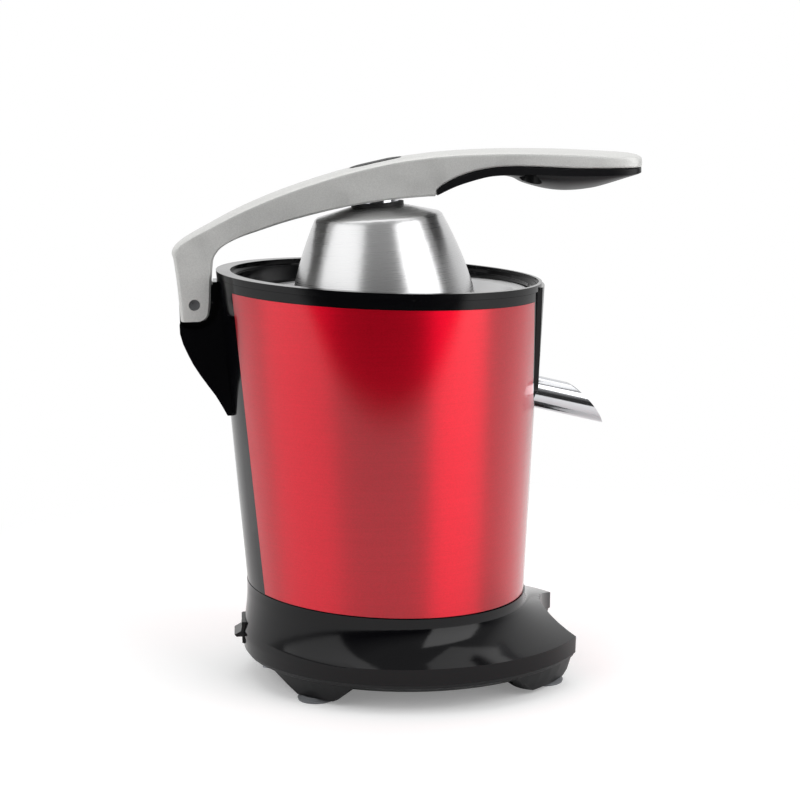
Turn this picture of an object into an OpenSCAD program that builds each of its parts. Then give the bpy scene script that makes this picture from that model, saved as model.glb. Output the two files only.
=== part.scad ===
// Electric citrus press with a pull-down lever.
// +X is the front, where the spout and the handle are, +Z is up, and the floor is z = 0.
// Everything is drawn round the drive axis of reamer and bowl, and then set so that the origin
// lies on the floor under the middle of the whole length.

/* [Casing] */
// Radius of the casing at the seam above the base
casing_seam_r = 78.4; // [77:0.2:80]
// Radius of the casing at its rim
casing_rim_r = 90; // [89:0.5:94]
// Height of the base seam, on the casing's axis
seam_z = 50; // [48:0.5:54]
// Height of the casing from seam to rim, on its axis
casing_h = 175; // [172:1:190]
// How far the casing's axis lies behind the drive axis
casing_back = 1.5; // [0.5:0.5:2]
// Fall of the rim towards the front, in degrees
rim_fall = 3.3; // [2:0.1:4]
// Fall of the base seam towards the front, in degrees
seam_fall = 3.7; // [2:0.1:4.5]
// Wall of the casing frame behind the wrap
frame_wall = 2.6; // [2:0.1:3]
// Thickness of the metal wrap
wrap_t = 1; // [0.6:0.1:1.4]
// Height of the black band between the wrap and the bowl's flange
band_h = 5; // [4:0.5:8]
// Half width of the black column at the rear
column_half = 37.5; // [32:0.5:42]
// Thickness of the deck that carries the gearbox
deck_t = 3; // [2.5:0.1:4]

/* [Base] */
// How far the skirt's crease stands out past the casing at the rear
skirt_out = 4.1; // [3.5:0.1:6]
// Wall of the skirt round the base's cavity, under the seam
skirt_wall = 6.4; // [5.6:0.2:8]
// Extra reach of the skirt at the front, before the bay is taken out
toe_reach = 31.5; // [26:0.5:34]
// Height of the skirt's crease
crease_z = 25.5; // [24:0.5:28]
// Height of the skirt's lower edge
skirt_z = 16.3; // [15:0.1:18]
// Radius of the bay for the glass between the toes
bay_r = 84.5; // [76:0.5:92]
// Distance of the bay's wall ahead of the casing's foot
bay_step = 10.6; // [8:0.2:12]
// Depth of the bottom plate under the skirt
plate_h = 8; // [6:0.5:9]
// Radius of a suction foot
foot_r = 10.5; // [9:0.5:12]
// Height of a suction foot under its leg
foot_h = 2.5; // [2.5:0.5:4]
// Distance of the rear feet behind the drive axis
rear_foot_x = 44.5; // [40:0.5:50]
// Half spacing of the rear feet
rear_foot_y = 54; // [48:0.5:58]
// Distance of the front feet ahead of the drive axis
front_foot_x = 82.5; // [76:0.5:86]
// Half spacing of the front feet
front_foot_y = 42; // [40:0.5:48]

/* [Bowl] */
// Thickness of the bowl's flange ring
flange_t = 3.6; // [3:0.1:5]
// Width of the flange ring, from the casing's rim to its opening
mouth_inset = 4.8; // [4:0.2:6]
// Distance of the bowl's inside from the casing's rim, at the strainer's seat
bowl_inset = 8.7; // [8.5:0.1:11]
// How far the bowl draws in from its seat to its floor
bowl_draw = 19.3; // [15:0.1:21]
// Depth of the bowl's floor under the rim
bowl_depth = 67; // [64:0.5:68]
// Wall of the bowl
bowl_wall = 2; // [1.6:0.1:2.4]
// Half width of the front tongue at its top
tongue_half = 36; // [33:0.5:40]
// Radius of the tongue's round lower end
tongue_r = 28.5; // [27:0.5:31]
// Depth of the tongue's lower end under the rim
tongue_depth = 80; // [78:0.5:82]
// How far the tongue stands proud of the casing
tongue_proud = 1.5; // [0.5:0.1:2]
// Width of the sunk border round the tongue
tongue_border = 9.5; // [6:0.5:11]

/* [Strainer and reamer] */
// Depth of the strainer's flange under the rim
strainer_drop = 10; // [9:0.5:14]
// Depth of the strainer's basket
strainer_h = 29; // [24:0.5:30]
// Sheet of the strainer
strainer_t = 1; // [0.8:0.1:1.2]
// Number of juice slots in the strainer's floor
slot_count = 24; // [12:4:32]
// Radius of the reamer at its foot
reamer_r = 38; // [34:0.5:40]
// Height of the reamer
reamer_h = 47; // [42:0.5:50]
// Number of ribs on the reamer
rib_count = 10; // [6:2:12]
// Travel of the reamer that starts the motor
reamer_travel = 3; // [2:0.5:3]

/* [Spout] */
// Outer radius of the spout tube
spout_r = 9; // [7.6:0.2:9.4]
// Wall of the spout tube
spout_wall = 1.2; // [0.8:0.1:1.6]
// Fall of the spout, in degrees
spout_fall = 14.5; // [8:0.5:16]
// Depth of the spout's pivot under the rim
spout_drop = 66; // [65:0.5:69]
// Radius of the barrel on which the spout tilts
barrel_r = 9.8; // [9.4:0.1:10]
// Length of the barrel
barrel_len = 21; // [20:0.5:23]

/* [Lever] */
// Distance of the hinge pin behind the casing's rim
pin_out = 12.2; // [12:0.1:13]
// Depth of the hinge pin under the rim
pin_drop = 12.3; // [11:0.1:14]
// Radius of the hinge pin
pin_r = 3; // [2.5:0.1:3.2]
// Half width of the lever at its knuckle
knuckle_half = 17; // [16:0.5:19]
// Half width of the bracket's tongue between the lever's cheeks
hinge_half = 9; // [8:0.5:9.5]
// Lean of the dome's axis with the lever at rest, in degrees
dome_lean = 2.3; // [1.5:0.1:3]

/* [Dome] */
// Radius of the dome at its shoulder
dome_shoulder_r = 34.8; // [33:0.2:36]
// Height of the dome's side
dome_side_h = 47.5; // [44:0.5:48]
// Sheet of the dome
dome_t = 1.2; // [0.8:0.1:1.4]
// Radius of the rubber washer on the dome
washer_r = 14.5; // [13:0.5:16]
// Thickness of the washer
washer_t = 2; // [1.5:0.1:2.4]
// Radius of the stud's bright collar
stud_r = 12; // [11:0.5:13]

/* [Drive] */
// Tooth module of the gears
gear_mod = 1; // [0.9:0.05:1.05]
// Teeth of the large gears
gear_teeth = 56; // [52:2:58]
// Teeth of the pinions
pinion_teeth = 14; // [13:1:15]
// Width of the output gear
gear_w = 9; // [7:0.5:10]
// Radius of the drive shaft
shaft_r = 5; // [4.6:0.1:5.4]
// Distance of the motor's axis from the drive axis
motor_off = 20; // [18:0.5:22]
// Side of the motor's lamination stack
stack_w = 62; // [58:1:64]
// Gap between the cooling fan and the bottom plate
fan_clear = 8.8; // [6:0.2:12]
// Radius of the rotor
rotor_r = 17; // [15:0.5:18]
// Radius of the motor's shaft
motor_shaft_r = 3; // [2.5:0.1:3.2]
// Number of fan blades
blade_count = 7; // [5:1:9]

/* [Switch and inlet] */
// Width of the rocker switch's frame
switch_w = 21; // [18:0.5:24]
// Height of the rocker switch's frame
switch_h = 12.5; // [12:0.5:15]
// Bore of the cord inlet
inlet_r = 3.6; // [3:0.1:4]
// Angle of the cord inlet from the rear, in degrees
inlet_turn = -34; // [-45:1:-28]

/* [Fits] */
// Gap between fixed pieces that seat on each other
seat_gap = 0.1; // [0.05:0.01:0.15]
// Radial running fit of shafts and pins
run_fit = 0.05; // [0.02:0.01:0.1]
// Gap between pieces that move past each other
move_gap = 0.4; // [0.3:0.05:0.5]

/* [Hidden] */
$fn = 72;

// A length past every piece, for cutting blocks
big = 400;
// Overlap that keeps cuts from ending on a face
cut = 1;

rim_z = seam_z + casing_h;
mouth_r = casing_rim_r - mouth_inset;
bowl_r = casing_rim_r - bowl_inset;
bowl_floor_r = bowl_r - bowl_draw;
bowl_floor = rim_z - bowl_depth;
floor_t = 2.5;
pin_x = -(casing_rim_r + casing_back + pin_out);
pin_z = rim_z - pin_drop;

black = [0.05, 0.05, 0.055];
soft_black = [0.09, 0.09, 0.095];
red = [0.72, 0.02, 0.05];
cast = [0.72, 0.72, 0.71];
steel = [0.78, 0.78, 0.79];
bright = [0.88, 0.88, 0.9];
grey = [0.55, 0.56, 0.57];
copper = [0.72, 0.42, 0.2];
bronze = [0.66, 0.5, 0.28];
nylon = [0.9, 0.89, 0.84];
zinc = [0.62, 0.63, 0.66];

// Shared shapes

// Radius of the casing's cone at a height
function casing_r(z) = casing_seam_r + (casing_rim_r - casing_seam_r) * (z - seam_z) / casing_h;

// Cone of the casing, drawn in by an inset
module casing_cone(inset = 0) {
    lo = seam_z - 20;
    hi = rim_z + 20;
    translate([-casing_back, 0, lo])
        cylinder(h = hi - lo, r1 = casing_r(lo) - inset, r2 = casing_r(hi) - inset);
}

// Shell of the casing's cone between two insets
module casing_shell(out, in) {
    lo = seam_z - 20;
    hi = rim_z + 20;
    translate([-casing_back, 0, 0])
        rotate_extrude()
            polygon([[casing_r(lo) - in, lo], [casing_r(lo) - out, lo],
                [casing_r(hi) - out, hi], [casing_r(hi) - in, hi]]);
}

// Everything above a plane that falls towards the front and crosses the casing's axis at z
module above(z, fall) {
    translate([-casing_back, 0, z])
        rotate([0, fall, 0])
            translate([-big, -big, 0])
                cube([2 * big, 2 * big, big]);
}

// Everything below such a plane
module below(z, fall) {
    translate([-casing_back, 0, z])
        rotate([0, fall, 0])
            translate([-big, -big, -big])
                cube([2 * big, 2 * big, big]);
}

// Round disc or post between two heights
module post(x, y, z0, z1, r) {
    translate([x, y, z0])
        cylinder(h = z1 - z0, r = r);
}

// Ring between two heights
module ring(z0, z1, r_in, r_out) {
    difference() {
        post(0, 0, z0, z1, r_out);
        post(0, 0, z0 - cut, z1 + cut, r_in);
    }
}

// Cylinder along Y, centred on the XZ point
module cross_bar(x, z, length, r) {
    translate([x, 0, z])
        rotate([90, 0, 0])
            cylinder(h = length, r = r, center = true);
}

// Extrudes an XZ outline along Y, centred
module side_plate(width) {
    rotate([90, 0, 0])
        linear_extrude(height = width, center = true)
            children();
}

// Screw standing on its head: head below z0, shank above
module screw_up(x, y, z0, head_r, head_h, shank_r, shank_h) {
    post(x, y, z0 - head_h, z0, head_r);
    post(x, y, z0 - cut / 2, z0 + shank_h, shank_r);
}

// Point on a smooth curve between b and c
function curve_at(a, b, c, d, t) =
    0.5 * (2 * b + (c - a) * t + (2 * a - 5 * b + 4 * c - d) * t * t + (3 * b - a - 3 * c + d) * t * t * t);

// A list of stations with smooth ones put between
function smooth(p, steps) = concat(
    [for (i = [0 : len(p) - 2], k = [0 : steps - 1])
        curve_at(p[max(i - 1, 0)], p[i], p[i + 1], p[min(i + 2, len(p) - 1)], k / steps)],
    [p[len(p) - 1]]);

// Solid skinned over rings of equal point count, with flat ends
module skin(rings) {
    n = len(rings[0]);
    m = len(rings);
    sides = [for (i = [0 : m - 2], j = [0 : n - 1]) each [
        [i * n + j, (i + 1) * n + j, (i + 1) * n + (j + 1) % n],
        [i * n + j, (i + 1) * n + (j + 1) % n, i * n + (j + 1) % n]]];
    first = [for (j = [0 : n - 1]) j];
    last = [for (j = [n - 1 : -1 : 0]) (m - 1) * n + j];
    polyhedron(points = [for (r = rings) each r], faces = concat(sides, [first, last]));
}

// Base

skirt_rear_r = casing_seam_r + skirt_out;
skirt_cavity_r = casing_seam_r - skirt_wall;
toe_swell = 2.2;

// Reach of the skirt at its crease before the bay is taken out; a is the angle from the front
function toe_r(a) = skirt_rear_r + toe_reach * pow((1 + cos(a)) / 2, toe_swell);

// Angles of the outline's points
toe_angles = [-180 : 5 : 175];

// Round bay for the glass, grown by a gap
module bay_cut(gap = 0) {
    translate([casing_seam_r + bay_step + bay_r - casing_back, 0, -cut])
        cylinder(h = seam_z, r = bay_r + gap, $fn = 144);
}

// Height of the base seam at a point
function seam_at(x) = seam_z - tan(seam_fall) * x;

// Outline point at angle a and reach r, from the casing's axis
function rim_point(a, r, z) = [r * cos(a) - casing_back, r * sin(a), z];

// Ring of the skirt: t = 0 under its upright collar, 1 at the crease; up lifts it towards the seam
flare = 1.8;
collar_h = 4.5;
collar_out = 0.6;
function skirt_ring(t, up = 0) = [for (a = toe_angles)
    let (collar_r = casing_seam_r + collar_out,
         r = collar_r + (toe_r(a) - collar_r) * pow(t, flare),
         top = seam_at(casing_seam_r * cos(a)) - seat_gap - collar_h)
    rim_point(a, r, top + (crease_z - top) * t + up)];

// Ring drawn in from the crease by a step
function inset_ring(z, inset) = [for (a = toe_angles) rim_point(a, toe_r(a) - inset, z)];

skirt_tuck = 0.6;
skirt_seat_z = skirt_z + 22;
skirt_seat_t = 3;
skirt_seat_w = 18;
frame_post_r = 5;
frame_post_gap = 1;
frame_post_at = (skirt_cavity_r - frame_post_r - frame_post_gap) / sqrt(2);
frame_post_spots = [for (sx = [-1, 1], sy = [-1, 1]) [sx * frame_post_at - casing_back, sy * frame_post_at]];

switch_z = 25.3;
switch_back = -(skirt_rear_r + casing_back);
switch_depth = 14;
switch_proud = 0.3;
gland_len = 16;
gland_r = inlet_r + 2.4;
gland_z = 30;
gland_lip = 2;
gland_in = skirt_cavity_r - 4;
gland_seat = skirt_cavity_r - seat_gap - 0.4;
gland_end = gland_in + gland_len;

// Puts its children at the cord inlet, with +X out of the base
module at_inlet() {
    translate([-casing_back, 0, gland_z])
        rotate([0, 0, 180 + inlet_turn])
            children();
}

module base_skirt() {
    color(black)
        difference() {
            skin(concat([skirt_ring(0, collar_h)], [for (i = [0 : 8]) skirt_ring(i / 8)],
                [inset_ring(crease_z - 2.5, 0.2), inset_ring(skirt_z, skirt_tuck)]));
            bay_cut();
            difference() {
                translate([-casing_back, 0, skirt_z - cut])
                    cylinder(h = seam_z, r = skirt_cavity_r);
                translate([-casing_back, 0, skirt_seat_z])
                    cylinder(h = skirt_seat_t, r = skirt_cavity_r + cut);
            }
            translate([-casing_back, 0, skirt_seat_z - cut])
                cylinder(h = skirt_seat_t + 2 * cut, r = skirt_cavity_r - skirt_seat_w);
            for (p = frame_post_spots)
                post(p[0], p[1], skirt_seat_z - cut, frame_foot + cut, frame_screw_r + seat_gap);
            switch_block(seat_gap);
            at_inlet()
                translate([skirt_cavity_r - cut, 0, 0])
                    rotate([0, 90, 0])
                        cylinder(h = big, r = gland_r + seat_gap);
            for (p = base_screw_spots)
                post(p[0], p[1], skirt_z - cut, skirt_z + base_screw_len, base_screw_r + seat_gap);
        }
}

base_screw_r = 1.8;
base_screw_head = 2.8;
base_screw_len = 7;
base_screw_rear = skirt_cavity_r + 3;
base_screw_front = skirt_rear_r + 5;
base_screw_spots = [for (sy = [-1, 1]) each [
    [base_screw_rear * cos(157) - casing_back, sy * base_screw_rear * sin(157)],
    [base_screw_front * cos(46) - casing_back, sy * base_screw_front * sin(46)]]];

plate_z = skirt_z - seat_gap;
plate_floor = 3;
plate_in = plate_z - plate_h + plate_floor;
leg_z = foot_h;
leg_top = plate_z - 1;
leg_slope = 1.3;
leg_flare = leg_slope * (leg_top - leg_z);
// Legs: a little outside their feet, with the radius at the foot
legs = [for (sy = [-1, 1]) each [[1 - rear_foot_x, sy * (rear_foot_y + 4), foot_r + 2],
    [front_foot_x - 4, sy * (front_foot_y + 7), foot_r + 6]]];
feet = [for (sy = [-1, 1]) each [[-rear_foot_x, sy * rear_foot_y], [front_foot_x, sy * front_foot_y]]];
foot_stem_r = 4;
foot_stem_h = 6;

module bottom_plate() {
    color(soft_black)
        difference() {
            union() {
                skin([inset_ring(plate_z - plate_h, skirt_tuck + 15),
                    inset_ring(plate_z - plate_h + 2, skirt_tuck + 9),
                    inset_ring(plate_z - 2, skirt_tuck + 1.5),
                    inset_ring(plate_z, skirt_tuck + 0.4)]);
                intersection() {
                    skin([inset_ring(leg_z, skirt_tuck + 7), inset_ring(leg_top, skirt_tuck + 2)]);
                    for (p = legs)
                        translate([p[0], p[1], leg_z])
                            cylinder(h = leg_top - leg_z, r1 = p[2], r2 = p[2] + leg_flare);
                }
            }
            bay_cut(1);
            post(-casing_back, 0, plate_in, plate_z + cut, skirt_cavity_r - 14);
            for (p = feet)
                post(p[0], p[1], leg_z - cut, leg_z + foot_stem_h + 0.3, foot_stem_r + seat_gap);
            for (p = base_screw_spots) {
                post(p[0], p[1], plate_z - plate_h - cut, plate_z + cut, base_screw_r + seat_gap);
                post(p[0], p[1], plate_z - plate_h - 2 * cut, plate_z - 3, base_screw_head + seat_gap);
            }
            for (a = [-30 : 12 : 30])
                translate([vent_x, a - vent_w / 2, plate_z - plate_h - cut])
                    cube([vent_len, vent_w, plate_h + 2 * cut]);
        }
}

vent_x = -35;
vent_len = 40;
vent_w = 4;

module suction_feet() {
    lip = 1.2;
    color(grey)
        for (p = feet)
            translate([p[0], p[1], 0])
                rotate_extrude()
                    polygon([[0, 1], [foot_r - 3, 0.6], [foot_r - 2.4, 0], [foot_r - 0.4, 0], [foot_r, lip],
                        [foot_r - 3, foot_h - seat_gap], [foot_stem_r, foot_h - seat_gap],
                        [foot_stem_r, foot_h + foot_stem_h], [0, foot_h + foot_stem_h]]);
}

module base_screws() {
    color(zinc)
        for (p = base_screw_spots)
            screw_up(p[0], p[1], plate_z - 3, base_screw_head, 2.2, base_screw_r, base_screw_len + 2);
}

// Block taken up by the switch frame behind the skirt's wall
module switch_block(gap = 0) {
    translate([switch_back + 1.2 - gap, -switch_w / 2 - gap, switch_z - switch_h / 2 - gap])
        cube([switch_depth + gap, switch_w + 2 * gap, switch_h + 2 * gap]);
    translate([switch_back - cut, -switch_w / 2 - gap, switch_z - switch_h / 2 - gap])
        cube([cut + 1.2, switch_w + 2 * gap, switch_h + 2 * gap]);
}

rocker_w = switch_w - 4;
rocker_h = switch_h - 3.4;
rocker_axis = switch_back + 3;
rocker_pin_r = 1.2;

module switch_frame() {
    color(black)
        difference() {
            union() {
                translate([switch_back + 0.3, -switch_w / 2, switch_z - switch_h / 2])
                    cube([switch_depth + 0.6, switch_w, switch_h]);
                translate([switch_back - switch_proud, -switch_w / 2 + 0.2, switch_z - switch_h / 2 + 0.2])
                    cube([switch_proud + 1, switch_w - 0.4, switch_h - 0.4]);
            }
            translate([switch_back - 2, -rocker_w / 2 - move_gap, switch_z - rocker_h / 2 - move_gap])
                cube([11, rocker_w + 2 * move_gap, rocker_h + 2 * move_gap]);
            cross_bar(rocker_axis, switch_z, rocker_w + 2.2, rocker_pin_r + run_fit);
        }
}

// Outline of the rocker in XZ about its pivot, with its lower half standing out at rest
module rocker_outline() {
    half = rocker_h / 2;
    polygon([[-3.2, half - 1], [-3.9, 0.4], [-7.6, -half * 0.35], [-6.4, -half + 1.7], [-1, -half + 1.7],
        [3, -1], [3, 1], [-1, half - 1]]);
}

module switch_rocker() {
    color(soft_black)
        union() {
            translate([rocker_axis, 0, switch_z])
                side_plate(rocker_w)
                    rocker_outline();
            cross_bar(rocker_axis, switch_z, rocker_w + 1.8, rocker_pin_r);
        }
}

module cord_gland() {
    color(black)
        at_inlet()
            rotate([0, 90, 0])
                rotate_extrude()
                    polygon([[inlet_r, gland_in], [gland_r + gland_lip, gland_in],
                        [gland_r + gland_lip, gland_seat], [gland_r, gland_seat], [gland_r, gland_end - 1],
                        [gland_r - 1, gland_end], [inlet_r, gland_end]]);
}

// Casing

part_z = rim_z - flange_t;
band_z = part_z - seat_gap - band_h;
frame_top = part_z - seat_gap;
wrap_foot = seam_z + 0.4;
trim_w = 2;
tongue_top = rim_z + 15;
tongue_mid = rim_z - tongue_depth + tongue_r;

// Front tongue's outline in YZ, grown by an offset
module tongue_outline(grow) {
    r = tongue_r + grow;
    half = tongue_half + grow;
    rise = rim_z - 12 - tongue_mid;
    reach = sqrt(half * half + rise * rise);
    // Angle at which the straight edge leaves the round end
    lean = atan2(rise, half) - acos(r / reach);
    touch = [r * cos(lean), tongue_mid + r * sin(lean)];
    edge = (half - touch[0]) / (rim_z - 12 - touch[1]);
    top_half = half + edge * (tongue_top - rim_z + 12);
    steps = 28;
    polygon(concat([[top_half, tongue_top], [-top_half, tongue_top]],
        [for (i = [0 : steps]) let (a = 180 - lean + (180 + 2 * lean) * i / steps)
            [r * cos(a), tongue_mid + r * sin(a)]]));
}

// The tongue's outline carried along X, ahead of the drive axis
module tongue_prism(grow) {
    translate([30, 0, 0])
        rotate([90, 0, 90])
            linear_extrude(height = 100)
                tongue_outline(grow);
}

// Where the wrap lies: between seam and band, clear of the column and of the tongue's trim
module wrap_zone() {
    difference() {
        above(wrap_foot, seam_fall);
        above(band_z, rim_fall);
        translate([-big, -column_half, 0])
            cube([big, 2 * column_half, big]);
        tongue_prism(trim_w);
    }
}

// Shell of the frame: the wall behind the wrap, the band, the column and the trim round the tongue
module frame_shell() {
    step = wrap_t + seat_gap;
    difference() {
        union() {
            difference() {
                casing_shell(step, step + frame_wall);
                below(seam_z, seam_fall);
            }
            difference() {
                casing_shell(0, frame_wall);
                below(band_z + seat_gap, rim_fall);
            }
            difference() {
                intersection() {
                    casing_shell(0, frame_wall);
                    translate([-big, -column_half + seat_gap, 0])
                        cube([big, 2 * (column_half - seat_gap), big]);
                }
                below(seam_z, seam_fall);
            }
            intersection() {
                casing_shell(0, frame_wall);
                tongue_prism(trim_w - seat_gap);
            }
        }
        above(frame_top, rim_fall);
        tongue_prism(move_gap);
    }
}

deck_gap = 14.5;
deck_z = bowl_floor - floor_t - deck_gap;
deck_top = deck_z + deck_t;
shaft_bush_wall = 5;
deck_hole_r = shaft_r + shaft_bush_wall;
frame_foot = skirt_seat_z + skirt_seat_t + seat_gap;
frame_screw_r = 1.8;

module casing_frame() {
    color(black)
        difference() {
            union() {
                frame_shell();
                intersection() {
                    casing_cone(frame_wall);
                    union() {
                        translate([-big, -big, deck_z])
                            cube([2 * big, 2 * big, deck_t]);
                        for (p = frame_post_spots)
                            post(p[0], p[1], frame_foot, seam_z + 24, frame_post_r);
                    }
                }
                intersection() {
                    casing_cone(frame_wall);
                    for (p = frame_post_spots)
                        translate([p[0], p[1], seam_z + 10])
                            rotate([0, 0, atan2(p[1], p[0])])
                                translate([0, -1.5, 0])
                                    cube([40, 3, 14]);
                }
            }
            post(0, 0, deck_z - cut, deck_top + cut, deck_hole_r + seat_gap);
            for (p = standoff_spots)
                post(p[0], p[1], deck_z - cut, deck_top + cut, deck_screw_r + seat_gap);
            for (p = frame_post_spots)
                post(p[0], p[1], frame_foot - cut, frame_foot + 14, frame_screw_r + seat_gap);
            for (z = bracket_screw_z)
                translate([pin_x, 0, z])
                    rotate([0, 90, 0])
                        cylinder(h = -pin_x, r = bracket_screw_r + seat_gap);
        }
}

module wrap_panel() {
    color(red)
        intersection() {
            difference() {
                casing_cone();
                casing_cone(wrap_t);
            }
            wrap_zone();
        }
}

module frame_screws() {
    color(zinc)
        for (p = frame_post_spots)
            screw_up(p[0], p[1], skirt_seat_z - seat_gap, 3.4, 2.4, frame_screw_r, skirt_seat_t + 12);
}

// Bowl, strainer and reamer

seat_z = rim_z - strainer_drop - strainer_t - seat_gap;
mouth_shift = 1.2;
mouth_depth = 3;
seat_w = 5;
chimney_r = shaft_r + 4;
chimney_wall = 2.5;
chimney_z = rim_z - 37;

barrel_z = rim_z - spout_drop;
barrel_in = barrel_r + 0.2;
barrel_x = casing_r(barrel_z) - casing_back - barrel_in;
channel_r = spout_r - spout_wall - 1.4;
house_half = barrel_len / 2 + 3.5;
house_wall = 3.6;
trunnion_r = 2;

// Slot for the spout in the tongue, from the lowest to the highest place of its tube there
spout_tilt = 25;
slot_reach = barrel_in + tongue_proud;
slot_down = slot_reach * tan(spout_fall) + spout_r / cos(spout_fall) + move_gap;
slot_up = slot_reach * tan(spout_tilt - spout_fall) + spout_r / cos(spout_tilt - spout_fall) + move_gap;
tongue_step = 1;

// Puts its children on the spout's axis, +X along the flow
module on_spout() {
    translate([barrel_x, 0, barrel_z])
        rotate([0, spout_fall, 0])
            children();
}

// Cylinder along the spout's axis from x0 to x1
module spout_bar(x0, x1, r) {
    on_spout()
        translate([x0, 0, 0])
            rotate([0, 90, 0])
                cylinder(h = x1 - x0, r = r);
}

// Cup of the bowl: wall, seat for the strainer, floor and the chimney round the shaft
module bowl_cup() {
    out_r = bowl_r + bowl_wall;
    rotate_extrude()
        polygon([
            [chimney_r, bowl_floor - floor_t], [bowl_floor_r + bowl_wall, bowl_floor - floor_t],
            [out_r - seat_w, seat_z - 9], [out_r, seat_z - 3], [out_r, rim_z + 10], [bowl_r, rim_z + 10],
            [bowl_r, seat_z], [bowl_r - seat_w, seat_z], [bowl_r - seat_w, seat_z - 4],
            [bowl_floor_r, bowl_floor], [chimney_r + chimney_wall, bowl_floor],
            [chimney_r + chimney_wall, chimney_z], [chimney_r, chimney_z]
        ]);
}

// Outside of the cup, grown by a gap
module cup_block(gap) {
    out_r = bowl_r + bowl_wall + gap;
    rotate_extrude()
        polygon([[0, bowl_floor - floor_t - gap], [bowl_floor_r + bowl_wall + gap, bowl_floor - floor_t - gap],
            [out_r - seat_w, seat_z - 9], [out_r, seat_z - 3], [out_r, rim_z], [0, rim_z]]);
}

// Room for the spout's barrel, trunnions and channel, and for its tube over the whole tilt
module spout_room() {
    cross_bar(barrel_x, barrel_z, barrel_len + 2 * move_gap, barrel_r + 0.3);
    cross_bar(barrel_x, barrel_z, barrel_len + 5, trunnion_r + run_fit);
    spout_bar(-24, 0, channel_r);
    translate([barrel_x, -spout_r - move_gap, barrel_z - slot_down])
        cube([40, 2 * (spout_r + move_gap), slot_down + slot_up]);
}

module juice_bowl() {
    color(black)
        difference() {
            bowl_cup();
            above(part_z - seat_gap, rim_fall);
            spout_room();
        }
}

// Flange ring of the bowl, open over the strainer
module flange_ring() {
    difference() {
        casing_cone();
        below(part_z, rim_fall);
        above(rim_z, rim_fall);
        post(0, 0, 0, big, bowl_r);
        difference() {
            post(mouth_shift, 0, 0, big, mouth_r);
            below(rim_z - mouth_depth, rim_fall);
        }
    }
}

// Front tongue under the ring: a raised face with a sunk border
module front_tongue() {
    difference() {
        intersection() {
            casing_shell(-tongue_proud, frame_wall);
            tongue_prism(0);
        }
        above(part_z + flange_t / 2, rim_fall);
        difference() {
            casing_shell(-tongue_proud - cut, tongue_step);
            tongue_prism(-tongue_border);
        }
    }
}

// Block behind the tongue that carries the spout's trunnions
module spout_house() {
    high = 2 * (barrel_r + house_wall);
    difference() {
        intersection() {
            translate([bowl_floor_r - 10, -house_half, barrel_z - high / 2])
                cube([60, 2 * house_half, high]);
            union() {
                casing_cone(frame_wall + wrap_t + seat_gap + move_gap);
                intersection() {
                    casing_cone(frame_wall / 2);
                    tongue_prism(0);
                }
            }
        }
        cup_block(seat_gap);
    }
}

module bowl_rim() {
    color(black)
        difference() {
            union() {
                flange_ring();
                front_tongue();
                spout_house();
            }
            spout_room();
        }
}

module strainer() {
    top = rim_z - strainer_drop;
    foot = top - strainer_h;
    out_r = bowl_r - 1;
    wall_r = bowl_r - seat_w - 4;
    floor_r = wall_r - 18;
    eye_r = chimney_r + chimney_wall + 1;
    color(steel)
        difference() {
            rotate_extrude()
                polygon([
                    [out_r, top - strainer_t], [out_r, top], [wall_r, top], [floor_r, foot + strainer_t],
                    [eye_r + strainer_t, foot + strainer_t], [eye_r + strainer_t, foot + 5], [eye_r, foot + 5],
                    [eye_r, foot], [floor_r + 0.6, foot], [wall_r + 0.8, top - strainer_t]
                ]);
            for (i = [0 : slot_count - 1])
                rotate([0, 0, i * 360 / slot_count])
                    translate([eye_r + 8, -1, foot - cut])
                        cube([floor_r - eye_r - 12, 2, strainer_t + 2 * cut]);
        }
}

reamer_z = rim_z - strainer_drop - strainer_h + strainer_t + reamer_travel + 1.5;
shaft_top = reamer_z + 23;

// Height of the reamer's side above its foot at radius r
function reamer_side(r) = reamer_h * pow(1 - r / reamer_r, 0.62);

module reamer() {
    hub_r = shaft_r + 3.5;
    hollow_r = chimney_r + chimney_wall + 5;
    rib_t = 2.4;
    rib_up = 2.2;
    radii = [for (i = [0 : 7]) reamer_r * (1 - i / 8)];
    color(soft_black)
        difference() {
            union() {
                rotate_extrude()
                    polygon(concat([[0, reamer_z + 3]], [[reamer_r - 2, reamer_z], [reamer_r, reamer_z]],
                        [for (r = radii) [r, reamer_z + 2 + 0.92 * reamer_side(r)]],
                        [[0, reamer_z + reamer_h * 0.94]]));
                for (i = [0 : rib_count - 1])
                    rotate([90, 0, i * 360 / rib_count])
                        linear_extrude(height = rib_t, center = true)
                            polygon(concat([[1, reamer_z + 4]], [[reamer_r - 3, reamer_z + 4]],
                                [for (r = radii) if (r > 1 && r < reamer_r - 2)
                                    [r, reamer_z + rib_up + 2 + 0.92 * reamer_side(r)]],
                                [[1, reamer_z + reamer_h]]));
            }
            difference() {
                translate([0, 0, reamer_z - cut])
                    cylinder(h = 12 + cut, r1 = reamer_r - 6, r2 = hollow_r);
                post(0, 0, reamer_z + 5, reamer_z + 40, hub_r);
            }
            post(0, 0, reamer_z - cut, shaft_top + 0.3, shaft_r + seat_gap);
        }
}

// Drive

centre_d = gear_mod * (gear_teeth + pinion_teeth) / 2;
idler_y = centre_d;
motor_y = motor_off * motor_off / (2 * centre_d);
motor_x = -sqrt(motor_off * motor_off - motor_y * motor_y);
motor_turn = atan2(motor_y - idler_y, motor_x);
press_angle = 25;
backlash = 0.1;

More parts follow.
